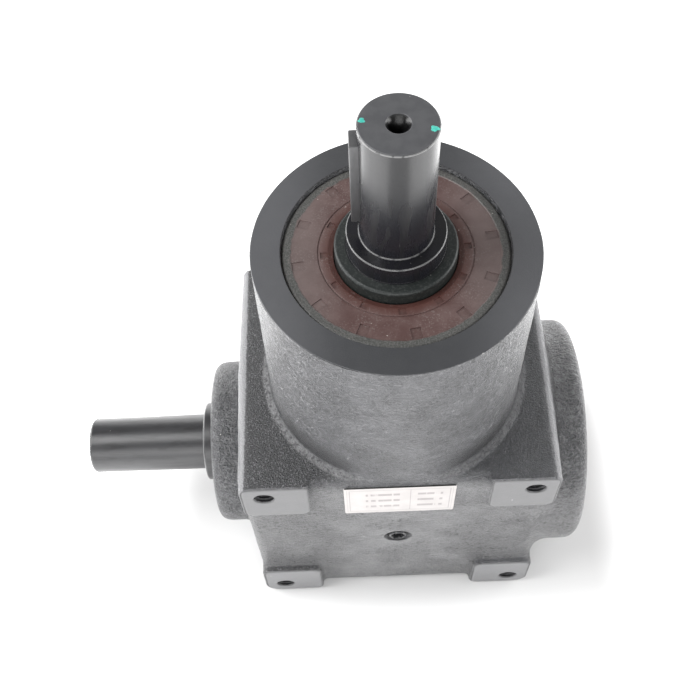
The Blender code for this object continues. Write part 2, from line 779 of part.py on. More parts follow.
def make_rings(paints):
    new_object(
        "output_oil_seal",
        lathe(seal_profile(JOURNAL_R, NECK_BORE_R, SEAL_TOP, SEAL_DEPTH), SEAL_SIDES),
        UPRIGHT,
        paints["seal"],
    )
    new_object(
        "cross_oil_seal",
        lathe(seal_profile(CROSS_JOURNAL_R, LEFT_BORE_R, -LEFT_SEAL_X, LEFT_SEAL_DEPTH), SEAL_SIDES),
        FACING_LEFT,
        paints["seal"],
    )
    for name, radius, low, thick, placing in (
        ("output_circlip", NECK_BORE_R, UPPER_BEARING[1] + SHIM + 2 * GAP, CIRCLIP_WIDE, UPRIGHT),
        ("left_circlip", LEFT_BORE_R, -LEFT_BEARING[0] + GAP, 3.0, FACING_LEFT),
        ("right_circlip", RIGHT_BORE_R, RIGHT_BEARING[1] + SHIM + 2 * GAP, CIRCLIP_WIDE, ALONG_X),
        ("right_inner_circlip", RIGHT_BORE_R, RIGHT_BEARING[0] - 4.0, CIRCLIP_WIDE - GAP, ALONG_X),
    ):
        new_object(name, split_ring(radius - 6.5, radius, low, low + thick, 26), placing, paints["spring"])
    for name, radius, low, placing in (
        ("output_shim", NECK_BORE_R, UPPER_BEARING[1] + GAP, UPRIGHT),
        ("right_shim", RIGHT_BORE_R, RIGHT_BEARING[1] + GAP, ALONG_X),
    ):
        ring = [(radius - 6, low), (radius, low), (radius, low + SHIM), (radius - 6, low + SHIM)]
        new_object(name, lathe(ring, RING_SIDES), placing, paints["steel"])
    for name, radius, low, placing in (
        ("pinion_circlip", SHAFT_R, PINION_SEAT_END + 2.0, UPRIGHT),
        ("cross_shaft_circlip", CROSS_JOURNAL_R, RIGHT_BEARING[1] + 0.9, ALONG_X),
    ):
        inner = radius - (1.2 if name == "pinion_circlip" else 1.5)
        new_object(name, split_ring(inner, radius + 3.5, low, low + 2.0, 40), placing, paints["spring"])
    cap_face = RIGHT_BOSS_X - CAP_SINK
    cap = [
        (0, cap_face - 3),
        (RIGHT_BORE_R - 10, cap_face - 3),
        (RIGHT_BORE_R - 7, cap_face),
        (RIGHT_BORE_R - 0.8, cap_face),
        (RIGHT_BORE_R, cap_face - 0.8),
        (RIGHT_BORE_R, cap_face - 10),
        (RIGHT_BORE_R - 3.5, cap_face - 10),
        (RIGHT_BORE_R - 3.5, cap_face - 5.5),
        (0, cap_face - 5.5),
    ]
    new_object("right_end_cap", lathe(cap, SEAL_SIDES), ALONG_X, paints["seal"])


def garter_spring(name, ring_r, wire_r, height, placing, paint):
    section = [
        (ring_r + wire_r * math.cos(math.radians(a)), height + wire_r * math.sin(math.radians(a)))
        for a in range(0, 360, 72)
    ]
    new_object(name, lathe(section, RING_SIDES), placing, paint)


def make_springs(paints):
    garter_spring(
        "output_seal_spring", JOURNAL_R + 7.8, 1.0, SEAL_TOP - SEAL_DEPTH + 4.2, UPRIGHT, paints["spring"]
    )
    garter_spring(
        "cross_seal_spring",
        CROSS_JOURNAL_R + 8.8,
        0.9,
        -LEFT_SEAL_X - LEFT_SEAL_DEPTH + 3.8,
        FACING_LEFT,
        paints["spring"],
    )


# ---- plugs and label -----------------------------------------------------------------------------
def make_plug(name, sign_y, paint):
    """A hexagon socket plug, sunk in the front or back face. Local +Z points out of the hole."""
    place = (
        UPRIGHT
        @ Matrix.Translation((0, sign_y * BODY_HALF_Y * MM, 0))
        @ Matrix.Rotation(-sign_y * math.pi / 2, 4, "X")
    )
    radius = PLUG_HOLE_R - GAP
    outline = [
        (0, -PLUG_SINK - PLUG_LENGTH),
        (radius - 1, -PLUG_SINK - PLUG_LENGTH),
        (radius, -PLUG_SINK - PLUG_LENGTH + 1),
        (radius, -PLUG_SINK - 1),
        (radius - 1, -PLUG_SINK),
        (0, -PLUG_SINK),
    ]
    plug = new_object(name, lathe(outline, 24), place, paint)
    across_corners = PLUG_SOCKET_AF / math.sqrt(3)
    socket = new_object(
        name + "_socket", lathe(rod(across_corners, -PLUG_SINK - 6, 5), 6), place
    )
    boolean(plug, socket, "DIFFERENCE")


def make_label(paint):
    """The rating plate on the front face, under the neck."""
    low = (-LABEL_HALF_X, -BODY_HALF_Y - LABEL_PROUD, LABEL_SPAN[0])
    high = (LABEL_HALF_X, -BODY_HALF_Y - GAP, LABEL_SPAN[1])
    new_object("rating_plate", box(low, high), UPRIGHT, paint)


def clear_scene():
    for made in list(bpy.data.objects):
        bpy.data.objects.remove(made)


def main():
    clear_scene()
    paints = make_materials()
    make_housing(paints)
    make_shafts(paints)
    make_gears(paints)
    make_bearings(paints)
    make_rings(paints)
    make_springs(paints)
    make_plug("front_oil_plug", -1, paints["plug"])
    make_plug("rear_oil_plug", 1, paints["plug"])
    make_label(paints["label"])


main()
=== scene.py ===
"""Looks of the right angle bevel gearbox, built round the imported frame.

The casting is a sampled distance field turned into a mesh, then machined with turned cutters. Shafts, seals,
plugs and covers are turned profiles. Lengths in the constants are in millimetres, and MM turns them into
metres. Local coordinates have their origin where the two shafts' axes meet.
"""

import json
import math

import bmesh
import bpy
import numpy as np
from mathutils import Matrix, Vector


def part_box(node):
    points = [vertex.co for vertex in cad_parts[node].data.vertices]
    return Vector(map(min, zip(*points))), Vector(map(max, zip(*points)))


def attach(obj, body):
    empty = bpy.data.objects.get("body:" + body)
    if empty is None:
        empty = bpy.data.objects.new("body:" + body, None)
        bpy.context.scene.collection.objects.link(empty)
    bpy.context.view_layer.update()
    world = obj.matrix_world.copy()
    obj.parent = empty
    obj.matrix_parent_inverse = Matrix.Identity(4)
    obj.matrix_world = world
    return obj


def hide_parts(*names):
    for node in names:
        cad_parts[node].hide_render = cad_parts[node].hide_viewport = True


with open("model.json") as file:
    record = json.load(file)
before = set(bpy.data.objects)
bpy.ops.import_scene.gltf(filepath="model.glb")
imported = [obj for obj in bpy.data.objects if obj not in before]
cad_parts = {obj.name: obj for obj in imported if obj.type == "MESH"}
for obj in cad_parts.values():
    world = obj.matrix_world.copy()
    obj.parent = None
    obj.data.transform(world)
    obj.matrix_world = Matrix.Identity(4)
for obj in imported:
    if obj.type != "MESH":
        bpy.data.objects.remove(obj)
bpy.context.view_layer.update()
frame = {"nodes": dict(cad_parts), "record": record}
MM = 0.001


def low_high(node):
    """A CAD node's lowest and highest corners in millimetres."""
    low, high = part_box(node)
    return low / MM, high / MM


# ---- places read from the frame
HOUSING_LOW, HOUSING_HIGH = low_high("housing")
CROSS_LOW, CROSS_HIGH = low_high("cross_shaft")
OUTPUT_LOW, OUTPUT_HIGH = low_high("output_shaft")
SEAL_LOW, SEAL_HIGH = low_high("output_oil_seal")
LEFT_SEAL_LOW, LEFT_SEAL_HIGH = low_high("cross_oil_seal")
CAP_LOW, CAP_HIGH = low_high("right_end_cap")
PLATE_LOW, PLATE_HIGH = low_high("rating_plate")
KEY_LOW, KEY_HIGH = low_high("output_key")
CROSS_KEY_LOW, CROSS_KEY_HIGH = low_high("cross_shaft_key")

AXIS_HEIGHT = (CROSS_LOW.z + CROSS_HIGH.z) / 2
NECK_TOP = HOUSING_HIGH.z - AXIS_HEIGHT
LEFT_FACE = HOUSING_LOW.x
RIGHT_FACE = HOUSING_HIGH.x
PAD_FACE = HOUSING_HIGH.y
SEAL_R = (SEAL_HIGH.x - SEAL_LOW.x) / 2
LEFT_SEAL_R = (LEFT_SEAL_HIGH.y - LEFT_SEAL_LOW.y) / 2
CAP_R = (CAP_HIGH.y - CAP_LOW.y) / 2
PLATE_HALF_X = (PLATE_HIGH.x - PLATE_LOW.x) / 2
PLATE_HALF_Z = (PLATE_HIGH.z - PLATE_LOW.z) / 2
PLATE_MIDDLE = (PLATE_HIGH.z + PLATE_LOW.z) / 2
SHAFT_TOP = OUTPUT_HIGH.z - AXIS_HEIGHT
CROSS_END = CROSS_LOW.x
SEAL_FACE = SEAL_HIGH.z - AXIS_HEIGHT - 0.4

# ---- the casting's own sizes
BODY_HALF_X = 90.2
SIDE_DRAFT = 1.4           # the block narrows by this much from its middle to its front and back
BODY_HALF_Z = AXIS_HEIGHT
BODY_EDGE = 7.0
RECESS_TOP = 71.0          # the face between the pads leans back from here to RECESS_BOTTOM
RECESS_BOTTOM = 67.6
PAD_SPAN = (49.5, 88.5)
PAD_CORNER = 6.0
LOWER_PAD_CORNER = 9.5
PAD_EDGE = 1.0
NECK_R = 70.0
NECK_DRAFT = 0.8           # the neck is this much wider at its foot
NECK_FILLET = 4.0
NECK_FOOT = 87.0
LEFT_BOSS_R = 51.2
RIGHT_BOSS_R = 70.0
RIGHT_BOSS_START = 84.0
LEFT_RIM = (4.3, 8.0)      # rounding of a boss's rim, radially and along the axis
RIGHT_RIM = (6.5, 7.0)
BOSS_FILLET = 11.0
LEFT_BORE_STEP = 80        # the left bore widens for its seal here, measured to the left
BORE_CHAMFER = 0.7
BORE_GAP = 0.3             # room round a seal or the cap in its bore
CHAMBER_HALF = (68, 59.8)  # half width and half depth of the hollow for the gears
CHAMBER_WALL = 12.5
CHAMBER_SHIFT = (-8, 0, -2)
BEAD_R = 73.2              # ragged bead of sand and paint round the outer end of the neck's fillet; its pale colour is partly sand and partly a painted highlight
BOLT_HALF_SPACING = 75.0
BOLT_R = 6.0
BOLT_DEPTH = 24.0
THREAD_PITCH = 1.75
HOLE_MOUTH = 0.8           # depth of a tapped hole's countersink
PLUG_HOLE_R = 9.0

# ---- the shafts' sizes
# Heights and places are measured from where the axes meet. CROSS_COLLAR_X is a plain X, so it is negative
# on the left. CROSS_STEP and CROSS_BODY_END are distances to the left, and are negative on the right.
SHAFT_R = 17.5
COLLAR_R = 23.75
COLLAR_TOP = 219.3
JOURNAL_R = 29.7
JOURNAL_TOP = 209.0
MARK_THICK = 0.16          # the paint marks on the output shaft's end stand this much above it
PAINT_MARKS = ((171.0, 15.2, 1.35, 1.0), (-14.0, 15.0, 1.5, 1.2))  # angle, radius, size and lengthening
CROSS_JOURNAL_R = 24.7
CROSS_COLLAR_X = -119.5
OUTPUT_FOOT = 31.0         # the output shaft reaches its full radius here
OUTPUT_JOURNAL = 77.7      # and grows to JOURNAL_R here
OUTPUT_SHOULDER = (101.3, 160.7)
OUTPUT_SHOULDER_R = 34.0
CROSS_STEP = (-67.2, -22.5)
CROSS_STEP_R = 26.0
CROSS_BODY_R = 28.0        # from the end of CROSS_STEP to CROSS_BODY_END
CROSS_BODY_END = 79.7
KEYWAY_GAP = 0.12          # room round a key in its keyway
BORE_TURNS = (1.6, 20, 1.5)  # tapped centre hole: first groove's depth, last depth and pitch

LABEL_PATCH = (33, 63, 21)  # half width, middle and half height of the smooth skin under the label
SKIN_WAVES = ((0.20, 15.0, 3), (0.12, 6.0, 5), (0.06, 3.3, 7))  # height, length and random seed
GRID_STEP = 1.35
TURN_STEPS = 96
SHARP_ANGLE = 32.0         # degrees
POCKETS = 12               # moulded pockets in each of the output seal's two rows

UPRIGHT = Matrix.Translation((0, 0, AXIS_HEIGHT * MM))
TOWARDS_RIGHT = UPRIGHT @ Matrix.Rotation(math.pi / 2, 4, "Y")
TOWARDS_LEFT = UPRIGHT @ Matrix.Rotation(-math.pi / 2, 4, "Y")


# ---- node material helpers
class Nodes:
    """Short calls that add nodes to a material. Values may be numbers or other nodes' outputs."""

    def __init__(self, name):
        self.material = bpy.data.materials.new(name)
        self.material.use_nodes = True
        self.tree = self.material.node_tree
        self.shader = self.tree.nodes["Principled BSDF"]
        self.place = self.new("ShaderNodeTexCoord").outputs["Object"]

    def put(self, socket, value):
        if isinstance(value, bpy.types.NodeSocket):
            self.tree.links.new(value, socket)
        elif isinstance(value, (tuple, list)) and len(value) == 3 and socket.type == "RGBA":
            socket.default_value = (*value, 1.0)
        else:
            socket.default_value = value

    def new(self, kind):
        return self.tree.nodes.new(kind)

    def feed(self, node, *values):
        """Puts values into a node's first inputs, in order."""
        for socket, value in zip(node.inputs, values):
            self.put(socket, value)

    def fill(self, node, **values):
        for name, value in values.items():
            self.put(node.inputs[name.replace("_", " ")], value)

    def set(self, **values):
        self.fill(self.shader, **values)

    def facing_up(self):
        """The upward part of the surface's normal."""
        return self.axes(self.new("ShaderNodeNewGeometry").outputs["Normal"])[2]

    def math(self, operation, first, second=0.0, third=0.0, clamp=False):
        node = self.new("ShaderNodeMath")
        node.operation = operation
        node.use_clamp = clamp
        self.feed(node, first, second, third)
        return node.outputs[0]

    def times(self, first, second):
        return self.math("MULTIPLY", first, second)

    def scaled(self, value, factor, plus):
        """value * factor + plus."""
        return self.math("MULTIPLY_ADD", value, factor, plus)

    def minus(self, first, second):
        return self.math("SUBTRACT", first, second)

    def most(self, first, second):
        return self.math("MAXIMUM", first, second)

    def size(self, value):
        return self.math("ABSOLUTE", value)

    def hypot(self, first, second):
        """Distance from an axis, from the two coordinates across it."""
        squares = self.math("ADD", self.times(first, first), self.times(second, second))
        return self.math("SQRT", squares)

    def stretched(self, scale):
        """The place in object coordinates, multiplied axis by axis."""
        node = self.new("ShaderNodeVectorMath")
        node.operation = "MULTIPLY"
        self.feed(node, self.place, scale)
        return node.outputs["Vector"]

    def axes(self, source=None):
        node = self.new("ShaderNodeSeparateXYZ")
        self.feed(node, source or self.place)
        return node.outputs[0], node.outputs[1], node.outputs[2]

    def noise(self, feature, detail=2.0, roughness=0.5, stretch=(1, 1, 1), distortion=0.0):
        """Noise whose lumps are about feature millimetres across, drawn out along each axis by stretch."""
        node = self.new("ShaderNodeTexNoise")
        scale = tuple(1 / (feature * MM * s) for s in stretch)
        self.fill(node, Vector=self.stretched(scale), Scale=1.0)
        self.fill(node, Detail=detail, Roughness=roughness, Distortion=distortion)
        return node.outputs["Fac"]

    def cells(self, feature, output):
        """Distance to the nearest point of cells feature millimetres across, or the cell's colour."""
        node = self.new("ShaderNodeTexVoronoi")
        scale = (1 / (feature * MM),) * 3
        self.fill(node, Vector=self.stretched(scale), Scale=1.0)
        return node.outputs[output]

    def step(self, value, low, high):
        """Smooth ramp from 0 to 1 as value goes from low to high, which may be the smaller number."""
        node = self.new("ShaderNodeMapRange")
        node.interpolation_type = "SMOOTHSTEP"
        node.clamp = True
        self.feed(node, value, low, high, 0.0, 1.0)
        return node.outputs[0]

    def ramp(self, value, low, high):
        """Smooth ramp from 0 to 1 of a value in metres, between two lengths in millimetres."""
        return self.step(value, low * MM, high * MM)

    def band(self, value, centre, outer, inner):
        """1 within inner millimetres of a centre, and 0 beyond outer."""
        return self.ramp(self.size(self.minus(value, centre * MM)), outer, inner)

    def patchy(self, low, high, *noise):
        """Smooth ramp from 0 to 1 of a noise, which leaves patches."""
        return self.step(self.noise(*noise), low, high)

    def mix(self, factor, first, second):
        node = self.new("ShaderNodeMix")
        node.data_type = "RGBA"
        self.put(node.inputs[0], factor)
        self.put(node.inputs[6], first)
        self.put(node.inputs[7], second)
        return node.outputs[2]

    def tint(self, tone, where, share, colour):
        """The tone with a share of another colour mixed in where the mask is 1."""
        return self.mix(self.times(where, share), tone, colour)

    def bump(self, height, strength, distance):
        """Bump of distance millimetres for height 1."""
        node = self.new("ShaderNodeBump")
        self.fill(node, Distance=distance * MM, Strength=strength, Height=height)
        self.set(Normal=node.outputs[0])


def specks(n, feature, size, share):
    """1 inside round specks of about size times feature, in the given share of the cells."""
    distance = n.cells(feature, "Distance")
    red = n.axes(n.cells(feature, "Color"))[0]
    chosen = n.math("LESS_THAN", red, share)
    return n.times(chosen, n.step(distance, size, size * 0.7))


def cast_paint():
    """Satin black paint over sand-cast iron: grainy on the cast skin, smooth where it was machined, with
    painted light and shade laid over it.
    """
    n = Nodes("painted_casting")
    # dark tones for the painted shade in the grain's dips and hollows
    dip_shade_tone = (0.012, 0.012, 0.014)
    hollow_shade_tone = (0.008, 0.008, 0.010)
    x, y, z = n.axes()
    aside = n.size(x)
    height = n.minus(z, AXIS_HEIGHT * MM)
    depth = n.size(y)
    radial = n.hypot(x, y)
    on_pads = n.ramp(depth, PAD_FACE - 0.35, PAD_FACE - 0.1)
    on_ring = n.ramp(height, NECK_TOP - 0.5, NECK_TOP - 0.2)
    machined = n.most(on_pads, on_ring)
    cast = n.minus(1, machined)
    facing_z = n.facing_up()
    on_boss = n.ramp(aside, 91, 95)
    upward = n.times(n.step(facing_z, 0.45, 0.9), n.math("SUBTRACT", cast, on_boss, clamp=True))
    walls = n.minus(cast, upward)
    to_right = n.ramp(x, -70, 75)

    bead = n.times(n.band(radial, BEAD_R, 2.6, 0.9), n.band(height, BODY_HALF_Z + 1, 3.5, 1.5))
    bead = n.times(bead, n.patchy(0.30, 0.62, 2, 4, 0.7))

    fine = n.noise(0.8, 2, 0.7)
    coarse = n.noise(2.2, 3, 0.65)
    lumps = n.noise(14, 3, 0.55)
    patches = n.patchy(0.40, 0.62, 34, 2, 0.5)
    drawn = n.noise(1.5, 3, 0.65, (2.2, 1, 0.9), 1.2)
    wall_grain = n.times(walls, n.scaled(patches, 0.75, 0.40))
    flat_grain = n.times(upward, n.scaled(to_right, -0.35, 1))
    relief = n.times(coarse, n.scaled(flat_grain, 0.40, wall_grain))
    relief = n.scaled(fine, n.scaled(flat_grain, 0.65, wall_grain), relief)
    flank = n.scaled(n.ramp(aside, 15, 60), 1.1, 0.8)
    relief = n.scaled(drawn, n.times(walls, flank), relief)
    relief = n.scaled(fine, n.times(bead, 0.6), relief)
    ripple = n.noise(2.6, 3, 0.6, (1, 1, 0.8), 0.9)
    high_flank = n.times(n.ramp(aside, 24, 58), n.ramp(height, 88, 94))
    rippled = n.times(walls, n.most(high_flank, on_boss))
    relief = n.scaled(ripple, n.times(rippled, 1.5), relief)
    smooth_grain = n.times(n.noise(0.5, 2, 0.5), n.times(machined, 0.04))
    n.bump(n.math("ADD", relief, smooth_grain), 1, 1.6)

    wall_tone = n.mix(n.step(lumps, 0.35, 0.65), (0.038, 0.039, 0.043), (0.066, 0.067, 0.072))
    # painted shade: faces that look up are painted darker than the walls, darkest towards the left
    upward_shade_tone = n.mix(to_right, (0.005, 0.005, 0.007), (0.026, 0.027, 0.031))
    # painted reflection of the bright floor: the lower front is painted lighter than the walls above it
    low_front_reflection = n.times(n.ramp(height, 86, 72), n.ramp(depth, 50, 68))
    floor_reflection_tone = n.mix(n.step(lumps, 0.35, 0.65), (0.118, 0.118, 0.122), (0.152, 0.152, 0.156))
    wall_tone = n.mix(low_front_reflection, wall_tone, floor_reflection_tone)
    tone = n.mix(upward, wall_tone, upward_shade_tone)
    # painted glints: pale flecks on the grain's crests, brighter towards the left
    painted_glint = n.times(n.step(fine, 0.54, 0.66), n.scaled(wall_grain, 0.7, flat_grain))
    painted_glint_tone = n.mix(to_right, (0.17, 0.17, 0.175), (0.085, 0.085, 0.09))
    tone = n.tint(tone, painted_glint, 0.75, painted_glint_tone)
    # painted highlight on the crests of the drawn grain and painted shade in its troughs
    drawn_grain_highlight = n.times(n.step(drawn, 0.54, 0.66), walls)
    tone = n.tint(tone, drawn_grain_highlight, 0.6, (0.16, 0.16, 0.165))
    drawn_grain_shade = n.times(n.step(drawn, 0.44, 0.34), walls)
    tone = n.tint(tone, drawn_grain_shade, 0.65, dip_shade_tone)
    # painted highlight on the ripples' crests and painted shade in their dips, on the upper neck flanks and
    # the bosses
    ripple_highlight = n.times(n.step(ripple, 0.54, 0.64), rippled)
    ripple_highlight_tone = n.mix(on_boss, (0.27, 0.27, 0.278), (0.15, 0.15, 0.158))
    tone = n.tint(tone, ripple_highlight, 0.6, ripple_highlight_tone)
    ripple_shade = n.times(n.step(ripple, 0.46, 0.36), rippled)
    tone = n.tint(tone, ripple_shade, 0.6, dip_shade_tone)
    # painted shade in the hollows of the coarse grain
    hollow = n.times(n.step(coarse, 0.46, 0.34), n.math("ADD", wall_grain, flat_grain))
    tone = n.tint(tone, hollow, 0.8, hollow_shade_tone)
    # painted shade: a dark crescent on the neck's walls just above its foot, beside its middle, ragged at its
    # top
    neck_foot_shade = n.times(n.ramp(aside, 20, 32), n.ramp(aside, 66, 56))
    ragged = n.scaled(n.noise(5, 4, 0.6), 12 * MM, height)
    above_foot = n.times(n.ramp(height, 90, 92), n.ramp(ragged, 121, 106))
    neck_foot_shade = n.times(neck_foot_shade, above_foot)
    neck_foot_shade = n.times(neck_foot_shade, walls)
    tone = n.tint(tone, neck_foot_shade, 0.8, hollow_shade_tone)
    # painted highlight along the block's rounded upper side edges, brighter towards the left
    edge = n.scaled(n.noise(2.5, 4, 0.7), 2.4 * MM, aside)
    edge = n.times(n.ramp(edge, 85.6, 86.8), n.math("SUBTRACT", cast, on_boss, clamp=True))
    edge = n.times(edge, n.ramp(height, 79, 83))
    edge_highlight_tone = n.mix(to_right, (0.19, 0.19, 0.198), (0.13, 0.13, 0.138))
    tone = n.tint(tone, edge, 0.85, edge_highlight_tone)
    # the bead is painted pale, brighter towards the left: partly its sand, partly a painted highlight
    bead_highlight_tone = n.mix(to_right, (0.23, 0.23, 0.235), (0.11, 0.11, 0.115))
    tone = n.tint(tone, bead, 0.75, bead_highlight_tone)
    # painted reflection: the machined ring on the neck is lighter towards its sides than at its front
    to_sides = n.ramp(aside, 22, 62)
    ring_reflection_tone = n.mix(to_sides, (0.025, 0.026, 0.029), (0.058, 0.059, 0.064))
    # painted reflection of the floor: the lower pads are painted lighter than the upper ones
    low_pad = n.ramp(height, -20, -60)
    pad_tone = n.mix(low_pad, (0.080, 0.080, 0.083), (0.135, 0.135, 0.14))
    pad_tone = n.mix(on_ring, pad_tone, ring_reflection_tone)
    tone = n.mix(machined, tone, pad_tone)
    dust = specks(n, 7, 0.065, 0.12)
    tone = n.tint(tone, dust, 0.7, (0.70, 0.69, 0.66))
    pits = specks(n, 9, 0.085, 0.15)
    tone = n.mix(n.times(pits, n.times(walls, 0.9)), tone, (0.006, 0.006, 0.006))
    rough = n.scaled(n.noise(5, 3), 0.14, 0.24)
    rough = n.scaled(upward, 0.14, rough)
    rough = n.scaled(on_ring, 0.10, rough)
    rough = n.scaled(neck_foot_shade, 0.12, rough)
    n.set(Base_Color=tone, Roughness=rough)
    n.shader.inputs["IOR"].default_value = 1.62
    return n.material


def shaft_steel():
    """Oiled black steel: greyer near its end and darker below as painted reflection and shade, streaked
    below, with pale worn edges.
    """
    n = Nodes("oiled_black_steel")
    x, y, z = n.axes()
    height = n.minus(z, AXIS_HEIGHT * MM)
    radial = n.hypot(x, y)
    at_collar_edge = n.math(
        "MULTIPLY",
        n.band(height, COLLAR_TOP - 0.2, 0.45, 0.25),
        n.band(radial, COLLAR_R - 0.2, 0.5, 0.3),
    )
    at_root = n.math(
        "MULTIPLY",
        n.ramp(height, COLLAR_TOP + 0.8, COLLAR_TOP + 0.5),
        n.band(radial, SHAFT_R + 0.2, 0.45, 0.25),
    )
    worn = n.most(at_collar_edge, at_root)
    worn = n.times(worn, n.patchy(0.25, 0.5, 3, 3))
    streaks = n.patchy(0.46, 0.58, 5.5, 3, 0.5, (1, 1, 6), 0.6)
    wander = n.scaled(n.noise(5, 3, 0.5, (1, 1, 3)), 26 * MM, height)
    below = n.ramp(wander, SHAFT_TOP - 8, SHAFT_TOP - 22)
    streaks = n.times(streaks, below)
    greenish = n.ramp(radial, COLLAR_R + 0.3, COLLAR_R + 0.8)
    end_face = n.ramp(height, SHAFT_TOP - 0.5, SHAFT_TOP - 0.25)
    # painted reflection and shade: the shaft is lighter towards its end and darker down near the seal
    rise = n.ramp(height, COLLAR_TOP + 12, SHAFT_TOP - 2)
    tone = n.mix(rise, (0.007, 0.007, 0.009), (0.016, 0.016, 0.017))
    tone = n.tint(tone, streaks, 0.75, (0.003, 0.003, 0.004))
    tone = n.mix(greenish, tone, (0.006, 0.0085, 0.008))
    tone = n.tint(tone, worn, 0.5, (0.17, 0.17, 0.17))
    end_tone = n.mix(n.patchy(0.35, 0.65, 6, 3), (0.052, 0.053, 0.057), (0.062, 0.063, 0.067))
    worn_edge = n.band(height, SHAFT_TOP - 0.85, 0.5, 0.25)
    worn_edge = n.times(worn_edge, n.ramp(radial, SHAFT_R - 1.2, SHAFT_R - 0.9))
    worn_edge = n.times(worn_edge, n.patchy(0.35, 0.5, 3.5, 2))
    tone = n.mix(end_face, tone, end_tone)
    tone = n.tint(tone, worn_edge, 0.6, (0.20, 0.20, 0.20))
    dusty = n.times(greenish, n.patchy(0.50, 0.66, 0.9, 3, 0.7))
    tone = n.tint(tone, dusty, 0.22, (0.11, 0.115, 0.11))
    # painted shade inside the tapped centre hole
    bore = n.times(n.ramp(radial, 5.2, 4.95), n.ramp(height, SHAFT_TOP - 0.5, SHAFT_TOP - 1))
    tone = n.tint(tone, bore, 0.8, (0.004, 0.004, 0.004))
    tone = n.tint(tone, specks(n, 5, 0.05, 0.12), 0.4, (0.4, 0.4, 0.38))
    rough = n.scaled(n.noise(2, 4, 0.6, (1, 1, 4)), 0.12, 0.17)
    rough = n.scaled(streaks, 0.14, rough)
    rough = n.most(rough, n.times(end_face, 0.5))
    rough = n.most(rough, n.times(greenish, 0.48))
    n.bump(n.noise(0.35, 3, 0.6, (1, 1, 0.4)), 0.4, 0.03)
    n.set(Base_Color=tone, Roughness=rough)
    n.shader.inputs["IOR"].default_value = 1.42
    return n.material


def cross_steel():
    """The cross shaft's oiled black steel, with smears drawn along X and a pale ring at its collar."""
    n = Nodes("oiled_black_cross_steel")
    x, y, z = n.axes()
    along = n.size(n.minus(x, (CROSS_COLLAR_X - 0.4) * MM))
    height = n.minus(z, AXIS_HEIGHT * MM)
    radial = n.hypot(height, y)
    outer = n.ramp(radial, CROSS_JOURNAL_R - 1.6, CROSS_JOURNAL_R - 1)
    worn = n.times(n.ramp(along, 0.9, 0.5), n.patchy(0.2, 0.45, 3, 3))
    worn = n.times(worn, outer)
    smears = n.patchy(0.42, 0.66, 4, 4, 0.6, (6, 1, 1), 1.2)
    tone = n.mix(smears, (0.018, 0.018, 0.020), (0.009, 0.009, 0.010))
    tone = n.tint(tone, worn, 0.6, (0.35, 0.35, 0.35))
    tone = n.tint(tone, specks(n, 5, 0.05, 0.10), 0.5, (0.5, 0.5, 0.48))
    rough = n.scaled(n.noise(2, 4, 0.6, (4, 1, 1)), 0.12, 0.29)
    n.bump(n.noise(0.35, 3, 0.6, (0.4, 1, 1)), 0.5, 0.03)
    n.set(Base_Color=tone, Roughness=rough)
    n.shader.inputs["IOR"].default_value = 1.52
    return n.material


def seal_rubber(name, centre_axis, edge_r, lip_r):
    """Brown moulded rubber: overspray on its rim, streaks of dust, and a redder, darker lip; painted shade
    darkens the seals that face sideways, and a painted reflection lightens the output seal's sides.
    """
    n = Nodes(name)
    x, y, z = n.axes()
    height = n.minus(z, AXIS_HEIGHT * MM)
    across = x if centre_axis == "Z" else height
    radial = n.hypot(across, y)
    wander = n.scaled(n.noise(5, 5, 0.65), 3.2 * MM, radial)
    sprayed = n.ramp(wander, edge_r - 3.2, edge_r - 2.2)
    lip = n.ramp(wander, lip_r + 12, lip_r + 4)
    mottle = n.patchy(0.3, 0.7, 9, 4, 0.6)
    tone = n.mix(mottle, (0.062, 0.031, 0.028), (0.092, 0.056, 0.052))
    # painted shade: the seal and the cap that face sideways get a darker brown
    if centre_axis == "X":
        tone = n.mix(mottle, (0.034, 0.014, 0.011), (0.052, 0.027, 0.023))
    # painted reflection: the output seal's face is lighter towards its left and right than at its front
    if centre_axis == "Z":
        aside = n.ramp(n.size(x), 22, 46)
        tone = n.tint(tone, aside, 0.42, (0.15, 0.125, 0.12))
    tone = n.tint(tone, lip, 0.85, (0.058, 0.018, 0.013))
    spray = n.mix(n.patchy(0.40, 0.62, 0.8, 3, 0.7), (0.040, 0.042, 0.039), (0.088, 0.090, 0.086))
    tone = n.tint(tone, sprayed, 0.95, spray)
    dull = n.times(n.patchy(0.52, 0.68, 0.9, 3, 0.7), n.patchy(0.35, 0.65, 12, 3))
    tone = n.tint(tone, dull, 0.45, (0.20, 0.175, 0.165))
    tone = n.tint(tone, specks(n, 3.4, 0.08, 0.16), 0.65, (0.62, 0.58, 0.54))
    n.bump(n.noise(0.7, 3, 0.6), 0.6, 0.07)
    n.set(Base_Color=tone, Roughness=n.scaled(n.noise(3, 3), 0.2, 0.40))
    return n.material


def plug_steel():
    n = Nodes("painted_plug_steel")
    tone = n.mix(n.patchy(0.5, 0.62, 2, 3), (0.030, 0.031, 0.034), (0.11, 0.11, 0.11))
    n.bump(n.noise(0.6, 3), 0.5, 0.05)
    n.set(Base_Color=tone, Roughness=n.scaled(n.noise(1.5, 2), 0.2, 0.34))
    n.shader.inputs["Metallic"].default_value = 0.3
    return n.material


